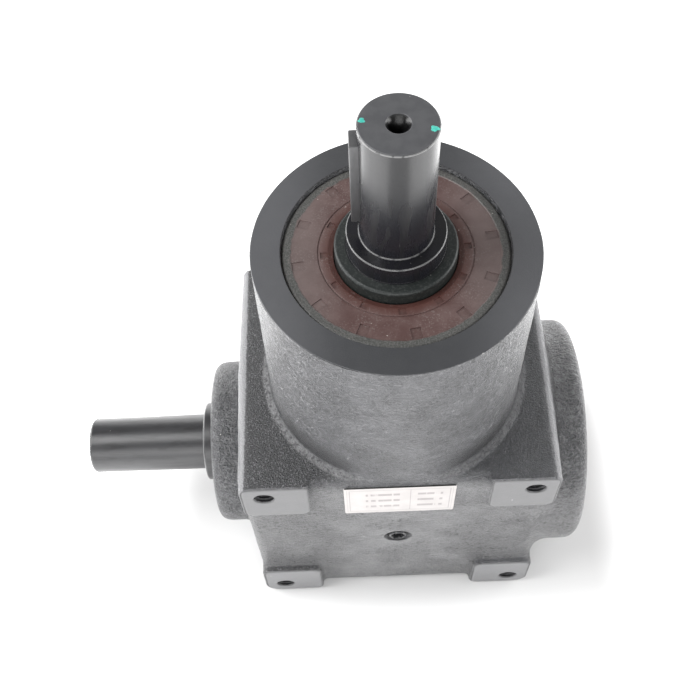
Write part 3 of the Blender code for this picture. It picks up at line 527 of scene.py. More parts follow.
def key_steel():
    """Bright-drawn key stock under a film of oil, painted darker towards the seal as shade."""
    n = Nodes("oiled_key_steel")
    _, _, z = n.axes()
    # painted light and shade: the key is lighter towards the shaft's end and darker towards the seal
    rise = n.ramp(z, AXIS_HEIGHT + COLLAR_TOP - 8, AXIS_HEIGHT + SHAFT_TOP)
    tone = n.mix(rise, (0.016, 0.016, 0.017), (0.062, 0.062, 0.064))
    stain = n.patchy(0.35, 0.65, 3, 3, 0.6, (1, 1, 3))
    tone = n.tint(tone, stain, 0.3, (0.012, 0.012, 0.013))
    n.bump(n.noise(0.35, 3, 0.6, (1, 1, 4)), 0.4, 0.03)
    n.set(Base_Color=tone, Roughness=n.scaled(n.noise(2, 3), 0.15, 0.32))
    return n.material


def bright_steel(name, tone, roughness, stretch):
    """Ground or cut steel with fine tool lines."""
    n = Nodes(name)
    lines = n.noise(0.5, 2, 0.5, stretch)
    pale = tuple(min(1, c * 1.25) for c in tone)
    n.bump(lines, 0.4, 0.02)
    n.set(
        Base_Color=n.mix(n.patchy(0.3, 0.7, 8, 3), tone, pale),
        Roughness=n.scaled(lines, 0.15, roughness - 0.07),
    )
    n.shader.inputs["Metallic"].default_value = 1.0
    return n.material


def bars(n, across, up, columns, rows, bar_height):
    """1 on short printed bars: one row at each height of rows, over the spans in columns."""
    printed = 0
    broken = n.patchy(0.38, 0.46, 1.9, 1, 0.4, (1, 1, 30))
    for low, high in columns:
        inside = n.math(
            "MULTIPLY",
            n.math("GREATER_THAN", across, low * MM),
            n.math("LESS_THAN", across, high * MM),
        )
        for row in rows:
            off = n.size(n.minus(up, row * MM))
            bar = n.times(inside, n.math("LESS_THAN", off, bar_height / 2 * MM))
            printed = n.most(printed, bar)
    return n.times(printed, broken)


def label_print():
    """Off-white film with a thin frame, a ruled grid and rows of plain grey bars, and a painted shadow on its
    up-facing top edge.
    """
    n = Nodes("rating_plate_print")
    x, _, z = n.axes()
    up = n.minus(z, PLATE_MIDDLE * MM)
    from_side = n.minus(PLATE_HALF_X * MM, n.size(x))
    from_top = n.minus(PLATE_HALF_Z * MM, n.size(up))
    edge = n.math("MINIMUM", from_side, from_top)
    line = n.band(edge, 3, 0.28, 0.12)
    second = n.band(edge, 1.6, 0.2, 0.1)
    divide = n.band(x, 6, 0.25, 0.12)
    divide = n.times(divide, n.ramp(edge, 3, 3.1))
    rows = (-8.5, 0, 8.5)
    words = bars(n, x, up, ((-19, 0), (10, 24)), rows, 3)
    frames = n.most(n.times(line, 0.55), n.times(second, 0.3))
    inner = n.most(n.times(divide, 0.5), n.times(words, 0.48))
    ink = n.most(frames, inner)
    paper = n.mix(n.patchy(0.3, 0.7, 10, 3), (0.375, 0.356, 0.350), (0.410, 0.390, 0.383))
    tone = n.mix(ink, paper, (0.11, 0.10, 0.10))
    tone = n.tint(tone, specks(n, 6, 0.04, 0.1), 0.5, (0.10, 0.09, 0.085))
    # painted shadow: the label's up-facing top edge is painted near black, a dark line above the label
    facing_z = n.facing_up()
    tone = n.mix(n.step(facing_z, 0.5, 0.8), tone, (0.008, 0.008, 0.008))
    n.bump(n.noise(0.5, 2), 0.3, 0.02)
    n.set(Base_Color=tone, Roughness=n.scaled(n.noise(4, 2), 0.15, 0.4))
    return n.material


def paint_dot():
    n = Nodes("turquoise_paint_mark")
    n.bump(n.noise(1, 2), 0.5, 0.1)
    tone = n.mix(n.patchy(0.35, 0.65, 2, 3), (0.03, 0.34, 0.28), (0.07, 0.46, 0.38))
    n.set(Base_Color=tone, Roughness=0.45)
    return n.material


# ---- mesh helpers
def smooth(mesh, sharp):
    """Shades a mesh smooth, with edges sharper than an angle in degrees kept."""
    mesh.shade_smooth()
    mesh.set_sharp_from_angle(angle=math.radians(sharp))


def add_object(name, data):
    made = bpy.data.objects.new(name, data)
    bpy.context.scene.collection.objects.link(made)
    return made


def finish_mesh(name, bm, placing, paint=None, sharp=SHARP_ANGLE):
    """Makes an object from a bmesh in millimetres. A cutter has no paint."""
    bmesh.ops.remove_doubles(bm, verts=bm.verts, dist=1e-4)
    bmesh.ops.recalc_face_normals(bm, faces=bm.faces)
    bm.transform(Matrix.Scale(MM, 4))
    bm.transform(placing)
    mesh = bpy.data.meshes.new(name)
    bm.to_mesh(mesh)
    bm.free()
    smooth(mesh, sharp)
    if paint:
        mesh.materials.append(paint)
    return add_object(name, mesh)


def repaint(mesh, paint):
    mesh.materials.clear()
    mesh.materials.append(paint)


def turned(profile, steps=TURN_STEPS):
    """A bmesh that turns a profile of (radius, height) about Z. Radius 0 at both ends closes on the axis."""
    bm = bmesh.new()
    angles = [2 * math.pi * i / steps for i in range(steps)]
    on_axis = profile[0][0] == 0
    body = profile[1:-1] if on_axis else profile
    rings = [
        [bm.verts.new((r * math.cos(a), r * math.sin(a), z)) for a in angles] for r, z in body
    ]
    pairs = list(zip(rings, rings[1:]))
    if not on_axis:
        pairs.append((rings[-1], rings[0]))
    for first, second in pairs:
        for i in range(steps):
            j = (i + 1) % steps
            bm.faces.new((first[i], first[j], second[j], second[i]))
    if on_axis:
        for ring, pole in ((rings[0], profile[0]), (rings[-1], profile[-1])):
            if pole[1] == (body[0] if ring is rings[0] else body[-1])[1]:
                bm.faces.new(ring)
            else:
                tip = bm.verts.new((0, 0, pole[1]))
                for i in range(steps):
                    bm.faces.new((ring[i], ring[(i + 1) % steps], tip))
    return bm


def turn_object(name, profile, placing, paint, steps=TURN_STEPS):
    return finish_mesh(name, turned(profile, steps), placing, paint)


def bend(start, corner, end, count=5):
    """Points of a smooth corner between two straight runs, as a quadratic curve."""
    points = []
    for i in range(count + 1):
        t = i / count
        points.append(
            tuple(
                (1 - t) ** 2 * s + 2 * t * (1 - t) * c + t * t * e
                for s, c, e in zip(start, corner, end)
            )
        )
    return points


def rounded(points, radii, count=5):
    """A profile with each inner corner rounded by its radius. The first and last points stay."""
    result = [points[0]]
    for before, corner, after, radius in zip(points, points[1:], points[2:], radii):
        if radius <= 0:
            result.append(corner)
            continue
        to_before = Vector(before) - Vector(corner)
        to_after = Vector(after) - Vector(corner)
        reach = min(radius, to_before.length * 0.49, to_after.length * 0.49)
        start = Vector(corner) + to_before.normalized() * reach
        end = Vector(corner) + to_after.normalized() * reach
        result += bend(tuple(start), corner, tuple(end), count)
    result.append(points[-1])
    return result


def cut(target, cutter):
    """Cuts one object out of another at once and removes the cutter."""
    before = len(target.data.polygons)
    for solver in ("MANIFOLD", "EXACT"):
        step = target.modifiers.new("cut", "BOOLEAN")
        step.operation = "DIFFERENCE"
        step.solver = solver
        step.object = cutter
        graph = bpy.context.evaluated_depsgraph_get()
        result = bpy.data.meshes.new_from_object(target.evaluated_get(graph))
        target.modifiers.remove(step)
        if len(result.polygons) > 0 and (len(result.polygons) != before or solver == "EXACT"):
            break
    old = target.data
    result.name = old.name
    target.data = result
    bpy.data.objects.remove(cutter)
    smooth(target.data, SHARP_ANGLE)


def cut_turned(target, profile, placing, steps=TURN_STEPS):
    cut(target, turn_object("cutter", profile, placing, None, steps))


# ---- distance field of the casting
def lattice_noise(shape, cell, seed):
    """Smooth random values between -1 and 1, one lattice point every cell grid steps."""
    source = np.random.default_rng(seed)
    counts = [int(n / cell) + 3 for n in shape]
    values = source.uniform(-1, 1, counts).astype(np.float32)
    for axis, size in enumerate(shape):
        places = np.arange(size, dtype=np.float32) / cell
        base = places.astype(int)
        part = places - base
        part = part * part * (3 - 2 * part)
        first = np.take(values, base, axis)
        second = np.take(values, base + 1, axis)
        weight = part.reshape([-1 if k == axis else 1 for k in range(3)])
        values = first + (second - first) * weight
    return values


def slopes(field):
    parts = np.gradient(field)
    size = np.sqrt(sum(p * p for p in parts)) + 1e-6
    return [p / size for p in parts]


def weld(first, second, width):
    """Union with a fillet. Where both surfaces face the same way there is no corner, and so no fillet."""
    alike = sum(a * b for a, b in zip(slopes(first), slopes(second)))
    reach = width * np.clip(1 - alike, 0, 1) + 1e-3
    overlap = np.maximum(reach - np.abs(first - second), 0) / reach
    return np.minimum(first, second) - overlap * overlap * reach / 4


def rounded_block(x, y, z, half, radius):
    parts = [np.abs(p) - h + radius for p, h in zip((x, y, z), half)]
    outside = np.sqrt(sum(np.maximum(p, 0) ** 2 for p in parts))
    inside = np.minimum(np.maximum(np.maximum(parts[0], parts[1]), parts[2]), 0)
    return outside + inside - radius


def boss(across, along, radius, face, rim):
    """A round boss along one axis, with an elliptic rounding round its end."""
    radial = np.maximum(across - (radius - rim[0]), 0) / rim[0]
    axial = np.maximum(along - (face - rim[1]), 0) / rim[1]
    return (np.sqrt(radial ** 2 + axial ** 2) - 1) * rim[0]


def unit(values):
    return np.clip(values, 0, 1)


def casting_field(x, y, z):
    """Signed distance to the raw casting's skin, negative inside."""
    lean = RECESS_BOTTOM + (RECESS_TOP - RECESS_BOTTOM) * (z + BODY_HALF_Z) / (2 * BODY_HALF_Z)
    wide = BODY_HALF_X - SIDE_DRAFT * np.minimum(np.abs(y) / RECESS_TOP, 1)
    body = rounded_block(x, y, z, (wide, lean, BODY_HALF_Z), BODY_EDGE)
    draft = NECK_DRAFT * unit((NECK_TOP - z) / (NECK_TOP - BODY_HALF_Z))
    neck = np.maximum(np.hypot(x, y) - NECK_R - draft, z - NECK_TOP - 4)
    neck = np.maximum(neck, NECK_FOOT - z)
    right = boss(np.hypot(y, z), x, RIGHT_BOSS_R, RIGHT_FACE, RIGHT_RIM)
    right = np.maximum(right, RIGHT_BOSS_START - x)
    left = boss(np.hypot(y, z), -x, LEFT_BOSS_R, -LEFT_FACE, LEFT_RIM)
    left = np.maximum(left, x)
    skin = weld(body, right, BOSS_FILLET)
    skin = weld(skin, left, BOSS_FILLET * 0.7)
    skin = weld(skin, neck, NECK_FILLET)
    middle = (PAD_SPAN[0] + PAD_SPAN[1]) / 2
    half = (PAD_SPAN[1] - PAD_SPAN[0]) / 2
    flat = [np.abs(p) - middle for p in (x, z)]
    outer_low = (z < -middle) & (np.abs(x) > middle)
    curve = np.where(outer_low, LOWER_PAD_CORNER, PAD_CORNER)
    corner = [np.abs(p) - half + curve for p in flat]
    outline = np.hypot(*[np.maximum(p, 0) for p in corner]) + np.minimum(np.maximum(*corner), 0)
    outline = outline - curve
    squared = np.maximum(np.abs(flat[0]), np.abs(flat[1])) - half
    meets_top = (z > 0) & (np.abs(z) > middle)
    outline = np.where(meets_top & (np.abs(x) < middle), squared, outline)
    walls = np.maximum(outline + PAD_EDGE, 0)
    front = np.maximum(np.abs(y) - PAD_FACE + PAD_EDGE, 0)
    pads = np.hypot(walls, front) - PAD_EDGE
    pads = np.maximum(pads, BODY_HALF_Z * 0.6 - np.abs(y))
    return weld(skin, pads, 3.0)


def cast_skin(x, y, z, step):
    """The field with the uneven skin of a sand casting, except on the machined faces and under the label."""
    field = casting_field(x, y, z)
    shape = field.shape
    radial = np.hypot(x, y)
    uneven = 0
    for height, cell, seed in SKIN_WAVES:
        uneven = uneven + height * lattice_noise(shape, cell / step, seed)
    foot = unit(1 - np.abs(radial - 75) / 6) * unit(1 - np.abs(z - BODY_HALF_Z - 6) / 8)
    uneven += 0.5 * foot * lattice_noise(shape, 4.5 / step, 13)
    near_top = unit(1 - np.abs(z - BODY_HALF_Z - 1) / 4)
    bead = np.exp(-((radial - BEAD_R) / 1.7) ** 2) * near_top
    uneven -= 0.8 * bead * (0.6 + 0.6 * lattice_noise(shape, 2.7 / step, 11))
    flat = unit((PAD_FACE - 0.4 - np.abs(y)) / 1.2)
    flat = flat * unit((z + BODY_HALF_Z - 0.4) / 2)
    flat = flat * unit((RIGHT_FACE - 0.4 - x) / 2) * unit((x - LEFT_FACE - 0.4) / 2)
    label = np.maximum(np.abs(x) - LABEL_PATCH[0], np.abs(z - LABEL_PATCH[1]) - LABEL_PATCH[2])
    flat = flat * np.where(y < 0, unit(label / 4), 1)
    field = field + uneven * flat
    for beyond in (-BODY_HALF_Z - z, np.abs(y) - PAD_FACE, x - RIGHT_FACE, LEFT_FACE - x):
        field = np.maximum(field, beyond + 0.02)
    return field


def surface_net(field, low, step):
    """Points and quads round a field's zero level, with one point in each cell that it crosses."""
    inside = field < 0
    size = [n - 1 for n in field.shape]
    corners = [(i, j, k) for i in (0, 1) for j in (0, 1) for k in (0, 1)]

    def corner(array, offset):
        return array[tuple(slice(o, o + s) for o, s in zip(offset, size))]

    count = sum(corner(inside, c).astype(np.int8) for c in corners)
    cells = np.argwhere((count > 0) & (count < 8))
    index = np.full(size, -1, np.int64)
    index[tuple(cells.T)] = np.arange(len(cells))
    total = np.zeros((len(cells), 3), np.float32)
    hits = np.zeros(len(cells), np.float32)
    for axis in range(3):
        for start in corners:
            if start[axis]:
                continue
            end = tuple(1 if k == axis else start[k] for k in range(3))
            a = field[tuple((cells + start).T)]
            b = field[tuple((cells + end).T)]
            crossed = (a < 0) != (b < 0)
            part = np.where(crossed, a / np.where(crossed, a - b, 1), 0)
            point = np.array(start, np.float32) + part[:, None] * np.eye(3, dtype=np.float32)[axis]
            total += np.where(crossed[:, None], point, 0)
            hits += crossed
    points = (cells + total / hits[:, None]) * step + np.array(low)
    quads = []
    for axis in range(3):
        u, v = (axis + 1) % 3, (axis + 2) % 3
        near = [slice(1, None)] * 3
        near[axis] = slice(None, -1)
        far = list(near)
        far[axis] = slice(1, None)
        a, b = inside[tuple(near)], inside[tuple(far)]
        for flips in (True, False):
            edges = np.argwhere(a & ~b if flips else ~a & b)
            edges[:, u] += 1
            edges[:, v] += 1
            ring = []
            for du, dv in ((1, 1), (0, 1), (0, 0), (1, 0)):
                cell = edges.copy()
                cell[:, u] -= du
                cell[:, v] -= dv
                keep = np.minimum(cell, np.array(size) - 1)
                ring.append(index[tuple(keep.T)])
            quad = np.stack(ring, 1)
            quads.append(quad if flips else quad[:, ::-1])
    return points, np.concatenate(quads)


def mesh_from_arrays(name, points, quads):
    mesh = bpy.data.meshes.new(name)
    mesh.vertices.add(len(points))
    mesh.vertices.foreach_set("co", points.astype(np.float32).ravel())
    mesh.loops.add(quads.size)
    mesh.loops.foreach_set("vertex_index", quads.astype(np.int32).ravel())
    mesh.polygons.add(len(quads))
    mesh.polygons.foreach_set("loop_start", np.arange(0, quads.size, 4, dtype=np.int32))
    mesh.update(calc_edges=True)
    mesh.validate()
    return mesh


def raw_casting():
    step = GRID_STEP
    low = np.array([LEFT_FACE - 4, -PAD_FACE - 3, -BODY_HALF_Z - 4])
    high = np.array([RIGHT_FACE + 4, PAD_FACE + 3, NECK_TOP + 8])
    places = [np.arange(a, b, step, dtype=np.float32) for a, b in zip(low, high)]
    x, y, z = np.meshgrid(*places, indexing="ij", sparse=True)
    x, y, z = np.broadcast_arrays(x, y, z)
    points, quads = surface_net(cast_skin(x, y, z, step), low, step)
    points[:, 2] += AXIS_HEIGHT
    mesh = mesh_from_arrays("housing_casting", points * MM, quads)
    return add_object("housing_casting", mesh)


# ---- machining
def outward(sign_y):
    """Turns a profile's axis to the front (-1) or the back (1) of the housing."""
    return Matrix.Rotation(-sign_y * math.pi / 2, 4, "X")


def threaded_hole_profile(radius, depth):
    """Profile of a tapped hole's cutter: grooves down the wall, a drill tip and a small countersink."""
    points = [(0, -depth - 3), (radius - 0.9, -depth)]
    low = -depth
    while low < -HOLE_MOUTH - THREAD_PITCH:
        points += [(radius - 0.75, low + 0.1), (radius - 0.05, low + THREAD_PITCH / 2)]
        low += THREAD_PITCH
    points += [(radius - 0.6, -HOLE_MOUTH), (radius + 0.2, 0.0), (radius + 0.2, 3), (0, 3)]
    return points


def machine_casting(casting):
    bm = bmesh.new()
    bmesh.ops.create_cube(bm, size=2.0)
    bmesh.ops.scale(bm, vec=(*CHAMBER_HALF, BODY_HALF_Z - CHAMBER_WALL), verts=bm.verts)
    bmesh.ops.translate(bm, vec=CHAMBER_SHIFT, verts=bm.verts)
    cut(casting, finish_mesh("chamber", bm, UPRIGHT))
    bore = SEAL_R + BORE_GAP
    neck = [
        (0, 60), (50, 60), (50, 78), (bore, 78), (bore, NECK_TOP - 0.9),
        (SEAL_R + BORE_CHAMFER, NECK_TOP), (NECK_R - 0.25, NECK_TOP), (NECK_R + 2.4, NECK_TOP - 2.65),
        (NECK_R + 6, NECK_TOP - 2.65), (NECK_R + 6, NECK_TOP + 12), (0, NECK_TOP + 12),
    ]
    cut_turned(casting, neck, UPRIGHT, 128)
    left_bore = LEFT_SEAL_R + BORE_GAP
    left = [
        (0, 60), (40, 60), (40, LEFT_BORE_STEP), (left_bore, LEFT_BORE_STEP), (left_bore, -LEFT_FACE - 1.2),
        (left_bore + 1.3, -LEFT_FACE + 0.2), (left_bore + 1.3, -LEFT_FACE + 5), (0, -LEFT_FACE + 5),
    ]
    cut_turned(casting, left, TOWARDS_LEFT)
    right_bore = CAP_R + BORE_GAP
    right = [
        (0, 50), (right_bore, 50), (right_bore, RIGHT_FACE - 1.2), (right_bore + 1.4, RIGHT_FACE + 0.2),
        (right_bore + 1.4, RIGHT_FACE + 5), (0, RIGHT_FACE + 5),
    ]
    cut_turned(casting, right, TOWARDS_RIGHT)
    for sign_y in (-1, 1):
        for sign_x in (-1, 1):
            for sign_z in (-1, 1):
                mouth = Vector((sign_x * BOLT_HALF_SPACING, sign_y * PAD_FACE, sign_z * BOLT_HALF_SPACING))
                place = UPRIGHT @ Matrix.Translation(mouth * MM) @ outward(sign_y)
                cut_turned(casting, threaded_hole_profile(BOLT_R, BOLT_DEPTH), place, 40)
        recess = (RECESS_TOP + RECESS_BOTTOM) / 2
        place = UPRIGHT @ Matrix.Translation((0, sign_y * recess * MM, 0)) @ outward(sign_y)
        profile = [
            (0, -14), (PLUG_HOLE_R - 1.0, -14), (PLUG_HOLE_R - 1.0, -1.4), (PLUG_HOLE_R - 0.4, 0.0),
            (PLUG_HOLE_R - 0.4, 4), (0, 4),
        ]
        cut_turned(casting, profile, place, 64)
    return casting


def build_casting():
    casting = machine_casting(raw_casting())
    repaint(casting.data, cast_paint())
    smooth(casting.data, 40)
    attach(casting, "housing_body")
    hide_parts("housing")


# ---- shafts
def keyway_cutter(low, high):
    """A box cutter round a key, a little larger than the box between two corners in millimetres."""
    bm = bmesh.new()
    bmesh.ops.create_cube(bm, size=1.0)
    for v in bm.verts:
        v.co = Vector(high[k] + KEYWAY_GAP if v.co[k] > 0 else low[k] - KEYWAY_GAP for k in range(3))
    return bm


def build_output_shaft(paint):
    chamfer = 0.5
    foot = OUTPUT_LOW.z - AXIS_HEIGHT
    top = SHAFT_TOP - MARK_THICK
    points = [
        (0, foot), (SHAFT_R - 0.5, foot), (SHAFT_R, OUTPUT_FOOT), (SHAFT_R, OUTPUT_JOURNAL),
        (JOURNAL_R, OUTPUT_JOURNAL), (JOURNAL_R, OUTPUT_SHOULDER[0]), (OUTPUT_SHOULDER_R, OUTPUT_SHOULDER[0]),
        (OUTPUT_SHOULDER_R, OUTPUT_SHOULDER[1]), (JOURNAL_R, OUTPUT_SHOULDER[1]),
        (JOURNAL_R, JOURNAL_TOP - 1.0),
        (JOURNAL_R - 0.9, JOURNAL_TOP), (COLLAR_R, JOURNAL_TOP),
        (COLLAR_R, COLLAR_TOP - chamfer), (COLLAR_R - chamfer, COLLAR_TOP), (SHAFT_R, COLLAR_TOP),
        (SHAFT_R, top - 0.7), (SHAFT_R - 0.7, top), (5.6, top), (4.9, top - 0.8),
    ]
    radii = [0, 0, 0, 0, 0, 0, 0, 0, 0.6, 0.6, 0.15, 0.2, 0.2, 0.7, 0.2, 0.2, 0.3]
    points = rounded(points, radii, 4)
    depth, deepest, pitch = BORE_TURNS
    while depth < deepest:
        points += [(4.25, top - depth), (4.85, top - depth - pitch / 2)]
        depth += pitch
    points += [(4.3, top - 24), (0, top - 26)]
    shaft = turn_object("output_shaft_turned", points, UPRIGHT, paint)
    low, high = KEY_LOW.copy(), KEY_HIGH.copy()
    low.x -= 6
    cut(shaft, finish_mesh("keyway", keyway_cutter(low, high), Matrix.Identity(4)))
    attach(shaft, "output_body")
    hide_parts("output_shaft")


def build_cross_shaft(paint):
    end = -CROSS_END
    collar = -CROSS_COLLAR_X
    points = [
        (0, -CROSS_HIGH.x), (CROSS_JOURNAL_R, -CROSS_HIGH.x), (CROSS_JOURNAL_R, CROSS_STEP[0]),
        (CROSS_STEP_R, CROSS_STEP[0]), (CROSS_STEP_R, CROSS_STEP[1]), (CROSS_BODY_R, CROSS_STEP[1]),
        (CROSS_BODY_R, CROSS_BODY_END), (CROSS_JOURNAL_R, CROSS_BODY_END), (CROSS_JOURNAL_R, collar - 1.0),
        (CROSS_JOURNAL_R - 1.0, collar), (SHAFT_R, collar), (SHAFT_R, end - 1.6), (SHAFT_R - 1.6, end),
        (0, end),
    ]
    radii = [0, 0, 0, 0, 0, 0, 0, 0.6, 0.6, 1.0, 0.7, 0.7]
    shaft = turn_object("cross_shaft_turned", rounded(points, radii, 4), TOWARDS_LEFT, paint)
    middle = (CROSS_KEY_LOW + CROSS_KEY_HIGH) / 2
    turn = Matrix.Rotation(math.atan2(-middle.y, middle.z - AXIS_HEIGHT), 4, "X")
    half = (KEY_HIGH.y - KEY_LOW.y) / 2
    seat = -KEY_HIGH.x - 0.2
    low, high = Vector((CROSS_KEY_LOW.x, -half, seat)), Vector((CROSS_KEY_HIGH.x, half, 26))
    cut(shaft, finish_mesh("cross_keyway", keyway_cutter(low, high), UPRIGHT @ turn))
    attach(shaft, "cross_body")
    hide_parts("cross_shaft")


def copy_node(node, name, paint, bevel):
    """A copy of a small CAD node with its edges rounded, which stands for the node."""
    source = frame["nodes"][node]
    mesh = source.data.copy()
    made = add_object(name, mesh)
    repaint(mesh, paint)
    bm = bmesh.new()
    bm.from_mesh(mesh)
    bmesh.ops.remove_doubles(bm, verts=bm.verts, dist=1e-6)
    bmesh.ops.dissolve_limit(bm, angle_limit=math.radians(1), verts=bm.verts, edges=bm.edges)
    bmesh.ops.bevel(bm, geom=list(bm.edges), offset=bevel * MM, segments=2, profile=0.6, affect="EDGES")
    bmesh.ops.recalc_face_normals(bm, faces=bm.faces)
    bm.to_mesh(mesh)
    bm.free()
    smooth(mesh, 50)
    return made


def build_keys(paint, cross_paint):
    keys = (("output_key", "output_body", paint), ("cross_shaft_key", "cross_body", cross_paint))
    for node, body, finish in keys:
        key = copy_node(node, node + "_rounded", finish, 0.25)
        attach(key, body)
        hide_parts(node)


def build_paint_marks():
    """Two thin dabs of turquoise paint on the output shaft's end."""
    paint = paint_dot()
    profile = [
        (0, -0.1), (1.0, -0.1), (1.0, 0.0), (0.85, MARK_THICK * 0.7), (0.5, MARK_THICK * 0.95),
        (0, MARK_THICK),
    ]
    for number, (angle, radius, size, long) in enumerate(PAINT_MARKS):
        bm = turned(profile, 32)
        for v in bm.verts:
            turn = math.atan2(v.co.y, v.co.x)
            wobble = 1 + 0.16 * math.sin(3 * turn + number) + 0.08 * math.sin(5 * turn + 2 * number)
            v.co.x *= size * wobble * long
            v.co.y *= size * wobble
        place = UPRIGHT @ Matrix.Rotation(math.radians(angle), 4, "Z")
        place = place @ Matrix.Translation(Vector((radius, 0, SHAFT_TOP - MARK_THICK)) * MM)
        mark = finish_mesh(f"paint_mark_{number + 1}", bm, place, paint)
        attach(mark, "output_body")


# ---- seals, cap, plugs and label
def pocket_cutters(inner, outer, width, face, depth, turn):
    """Small moulded pockets round the output seal's face, as one cutter of separate boxes."""
    bm = bmesh.new()
    for i in range(POCKETS):
        made = bmesh.ops.create_cube(bm, size=1.0)["verts"]
        for v in made:
            side = width / 2 * (1 if v.co.y > 0 else -1)
            v.co = Vector((outer if v.co.x > 0 else inner, side, face + (2 if v.co.z > 0 else -depth)))
        spin = Matrix.Rotation(2 * math.pi * i / POCKETS + math.radians(turn), 3, "Z")
        bmesh.ops.rotate(bm, verts=made, matrix=spin, cent=(0, 0, 0))
    return finish_mesh("pockets", bm, UPRIGHT)


def seal_points(lip, edge, face, depth):
    """An oil seal's section seen from outside: rim, moulded face, groove ring, red lip and its inner side."""
    points = [
        (edge, face - depth + 1), (edge, face - 0.9), (edge - 0.9, face), (edge - 4.2, face),
        (edge - 4.6, face - 0.35), (edge - 17.2, face - 0.35), (edge - 17.4, face - 0.9),
        (edge - 17.8, face - 0.9), (edge - 18.0, face - 0.45),
        (lip + 3.2, face - 0.6), (lip + 1.4, face - 1.3), (lip + 0.35, face - 1.5),
        (lip + 0.35, face - depth + 4), (lip + 1.5, face - depth + 2.5), (edge - 17, face - 4.5),
        (edge - 3.5, face - 4.5), (edge - 3.5, face - depth + 1),
    ]
    radii = [0.0, 0.5, 0.4, 0.3, 0.2, 0.15, 0.1, 0.1, 0.2, 0.8, 0.8, 0.3, 0, 0, 0]
    return rounded(points, radii, 3)


def build_seals():
    paint = seal_rubber("brown_seal_rubber", "Z", SEAL_R, JOURNAL_R)
    points = seal_points(JOURNAL_R, SEAL_R, SEAL_FACE, 13.0)
    seal = turn_object("output_seal_moulded", points, UPRIGHT, paint, 144)
    cut(seal, pocket_cutters(SEAL_R - 10.6, SEAL_R - 4.6, 5.0, SEAL_FACE - 0.35, 0.55, 8.5))
    cut(seal, pocket_cutters(JOURNAL_R + 3.3, SEAL_R - 18.6, 3.6, SEAL_FACE - 0.5, 0.6, 2))
    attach(seal, "housing_body")
    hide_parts("output_oil_seal")
    face = -LEFT_SEAL_LOW.x - 0.4
    side_paint = seal_rubber("brown_cross_seal_rubber", "X", LEFT_SEAL_R, CROSS_JOURNAL_R)
    points = seal_points(CROSS_JOURNAL_R, LEFT_SEAL_R, face, 10.0)
    side = turn_object("cross_seal_moulded", points, TOWARDS_LEFT, side_paint, 128)
    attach(side, "housing_body")
    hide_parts("cross_oil_seal")


def build_end_cap():
    paint = seal_rubber("brown_cap_rubber", "X", CAP_R, 0.0)
    face = CAP_HIGH.x
    points = [
        (0, face - 3.0), (CAP_R - 14, face - 3.0), (CAP_R - 9, face), (CAP_R - 1.0, face),
        (CAP_R, face - 1.0), (CAP_R, face - 10), (CAP_R - 3.5, face - 10), (CAP_R - 3.5, face - 5.5),
        (0, face - 5.5),
    ]
    points = rounded(points, [3, 1.5, 0.5, 0.5, 0.5, 0.5, 0.5], 4)
    cap = turn_object("right_cap_moulded", points, TOWARDS_RIGHT, paint, 128)
    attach(cap, "housing_body")
    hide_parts("right_end_cap")


def build_plugs(paint):
    radius = PLUG_HOLE_R - 1.1
    for node, sign_y in (("front_oil_plug", -1), ("rear_oil_plug", 1)):
        low, high = low_high(node)
        face = low.y if sign_y < 0 else high.y
        place = UPRIGHT @ Matrix.Translation((0, face * MM, 0)) @ outward(sign_y)
        points = [
            (0, -9), (radius - 1, -9), (radius, -8), (radius, -3.2), (5.4, -3.2), (5.4, 0.1), (5.0, 0.5),
            (0, 0.5),
        ]
        points = rounded(points, [0, 0, 0.4, 0.3, 0.3, 0.3], 3)
        plug = turn_object(node + "_machined", points, place, paint, 64)
        socket = [(0, -6), (4.5, -6), (4.5, 2), (0, 2)]
        cut_turned(plug, socket, place, 6)
        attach(plug, "housing_body")
        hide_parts(node)


def build_label():
    """The film label, with rounded corners and a very thin edge."""
    corner = 1.2
    flat_x, flat_z = PLATE_HALF_X - corner, PLATE_HALF_Z - corner
    bm = bmesh.new()
    ring = []
    for sx, sz, start in ((1, 1, 0), (-1, 1, 90), (-1, -1, 180), (1, -1, 270)):
        for i in range(6):
            turn = math.radians(start + 90 * i / 5)
            ring.append((sx * flat_x + corner * math.cos(turn), sz * flat_z + corner * math.sin(turn)))
    middle = PLATE_MIDDLE - AXIS_HEIGHT
    lean = (RECESS_TOP - RECESS_BOTTOM) / (2 * BODY_HALF_Z)
    loops = []
    for out, shrink in ((-0.6, 0.0), (0.80, 0.0), (0.86, 0.06)):
        loop = []
        for px, pz in ring:
            sx = px - math.copysign(shrink, px)
            sz = pz - math.copysign(shrink, pz)
            face = RECESS_BOTTOM + lean * (sz + middle + BODY_HALF_Z)
            loop.append(bm.verts.new((sx, -(face + out), sz + middle)))
        loops.append(loop)
    for first, second in zip(loops, loops[1:]):
        for i in range(len(first)):
            j = (i + 1) % len(first)
            bm.faces.new((first[i], first[j], second[j], second[i]))
    bm.faces.new(loops[0])
    bm.faces.new(loops[-1])
    label = finish_mesh("rating_plate_film", bm, UPRIGHT, label_print(), 60)
    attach(label, "housing_body")
    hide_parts("rating_plate")


def paint_inner_parts():
    """Materials of the CAD nodes that stay: gears, bearings, rings, springs and inner keys."""
    gear = bright_steel("cut_gear_steel", (0.30, 0.30, 0.31), 0.38, (1.0, 1.0, 8.0))
    ground = bright_steel("ground_bearing_steel", (0.52, 0.52, 0.54), 0.25, (6.0, 1.0, 1.0))
    spring = bright_steel("phosphated_spring_steel", (0.07, 0.07, 0.075), 0.42, (1.0, 1.0, 1.0))
    chosen = {"gear_steel": gear, "spring_steel": spring, "bearing_steel": ground}
    for part in frame["record"]["subparts"]:
        paint = chosen.get(part["material_slot"])
        if paint:
            repaint(frame["nodes"][part["node"]].data, paint)


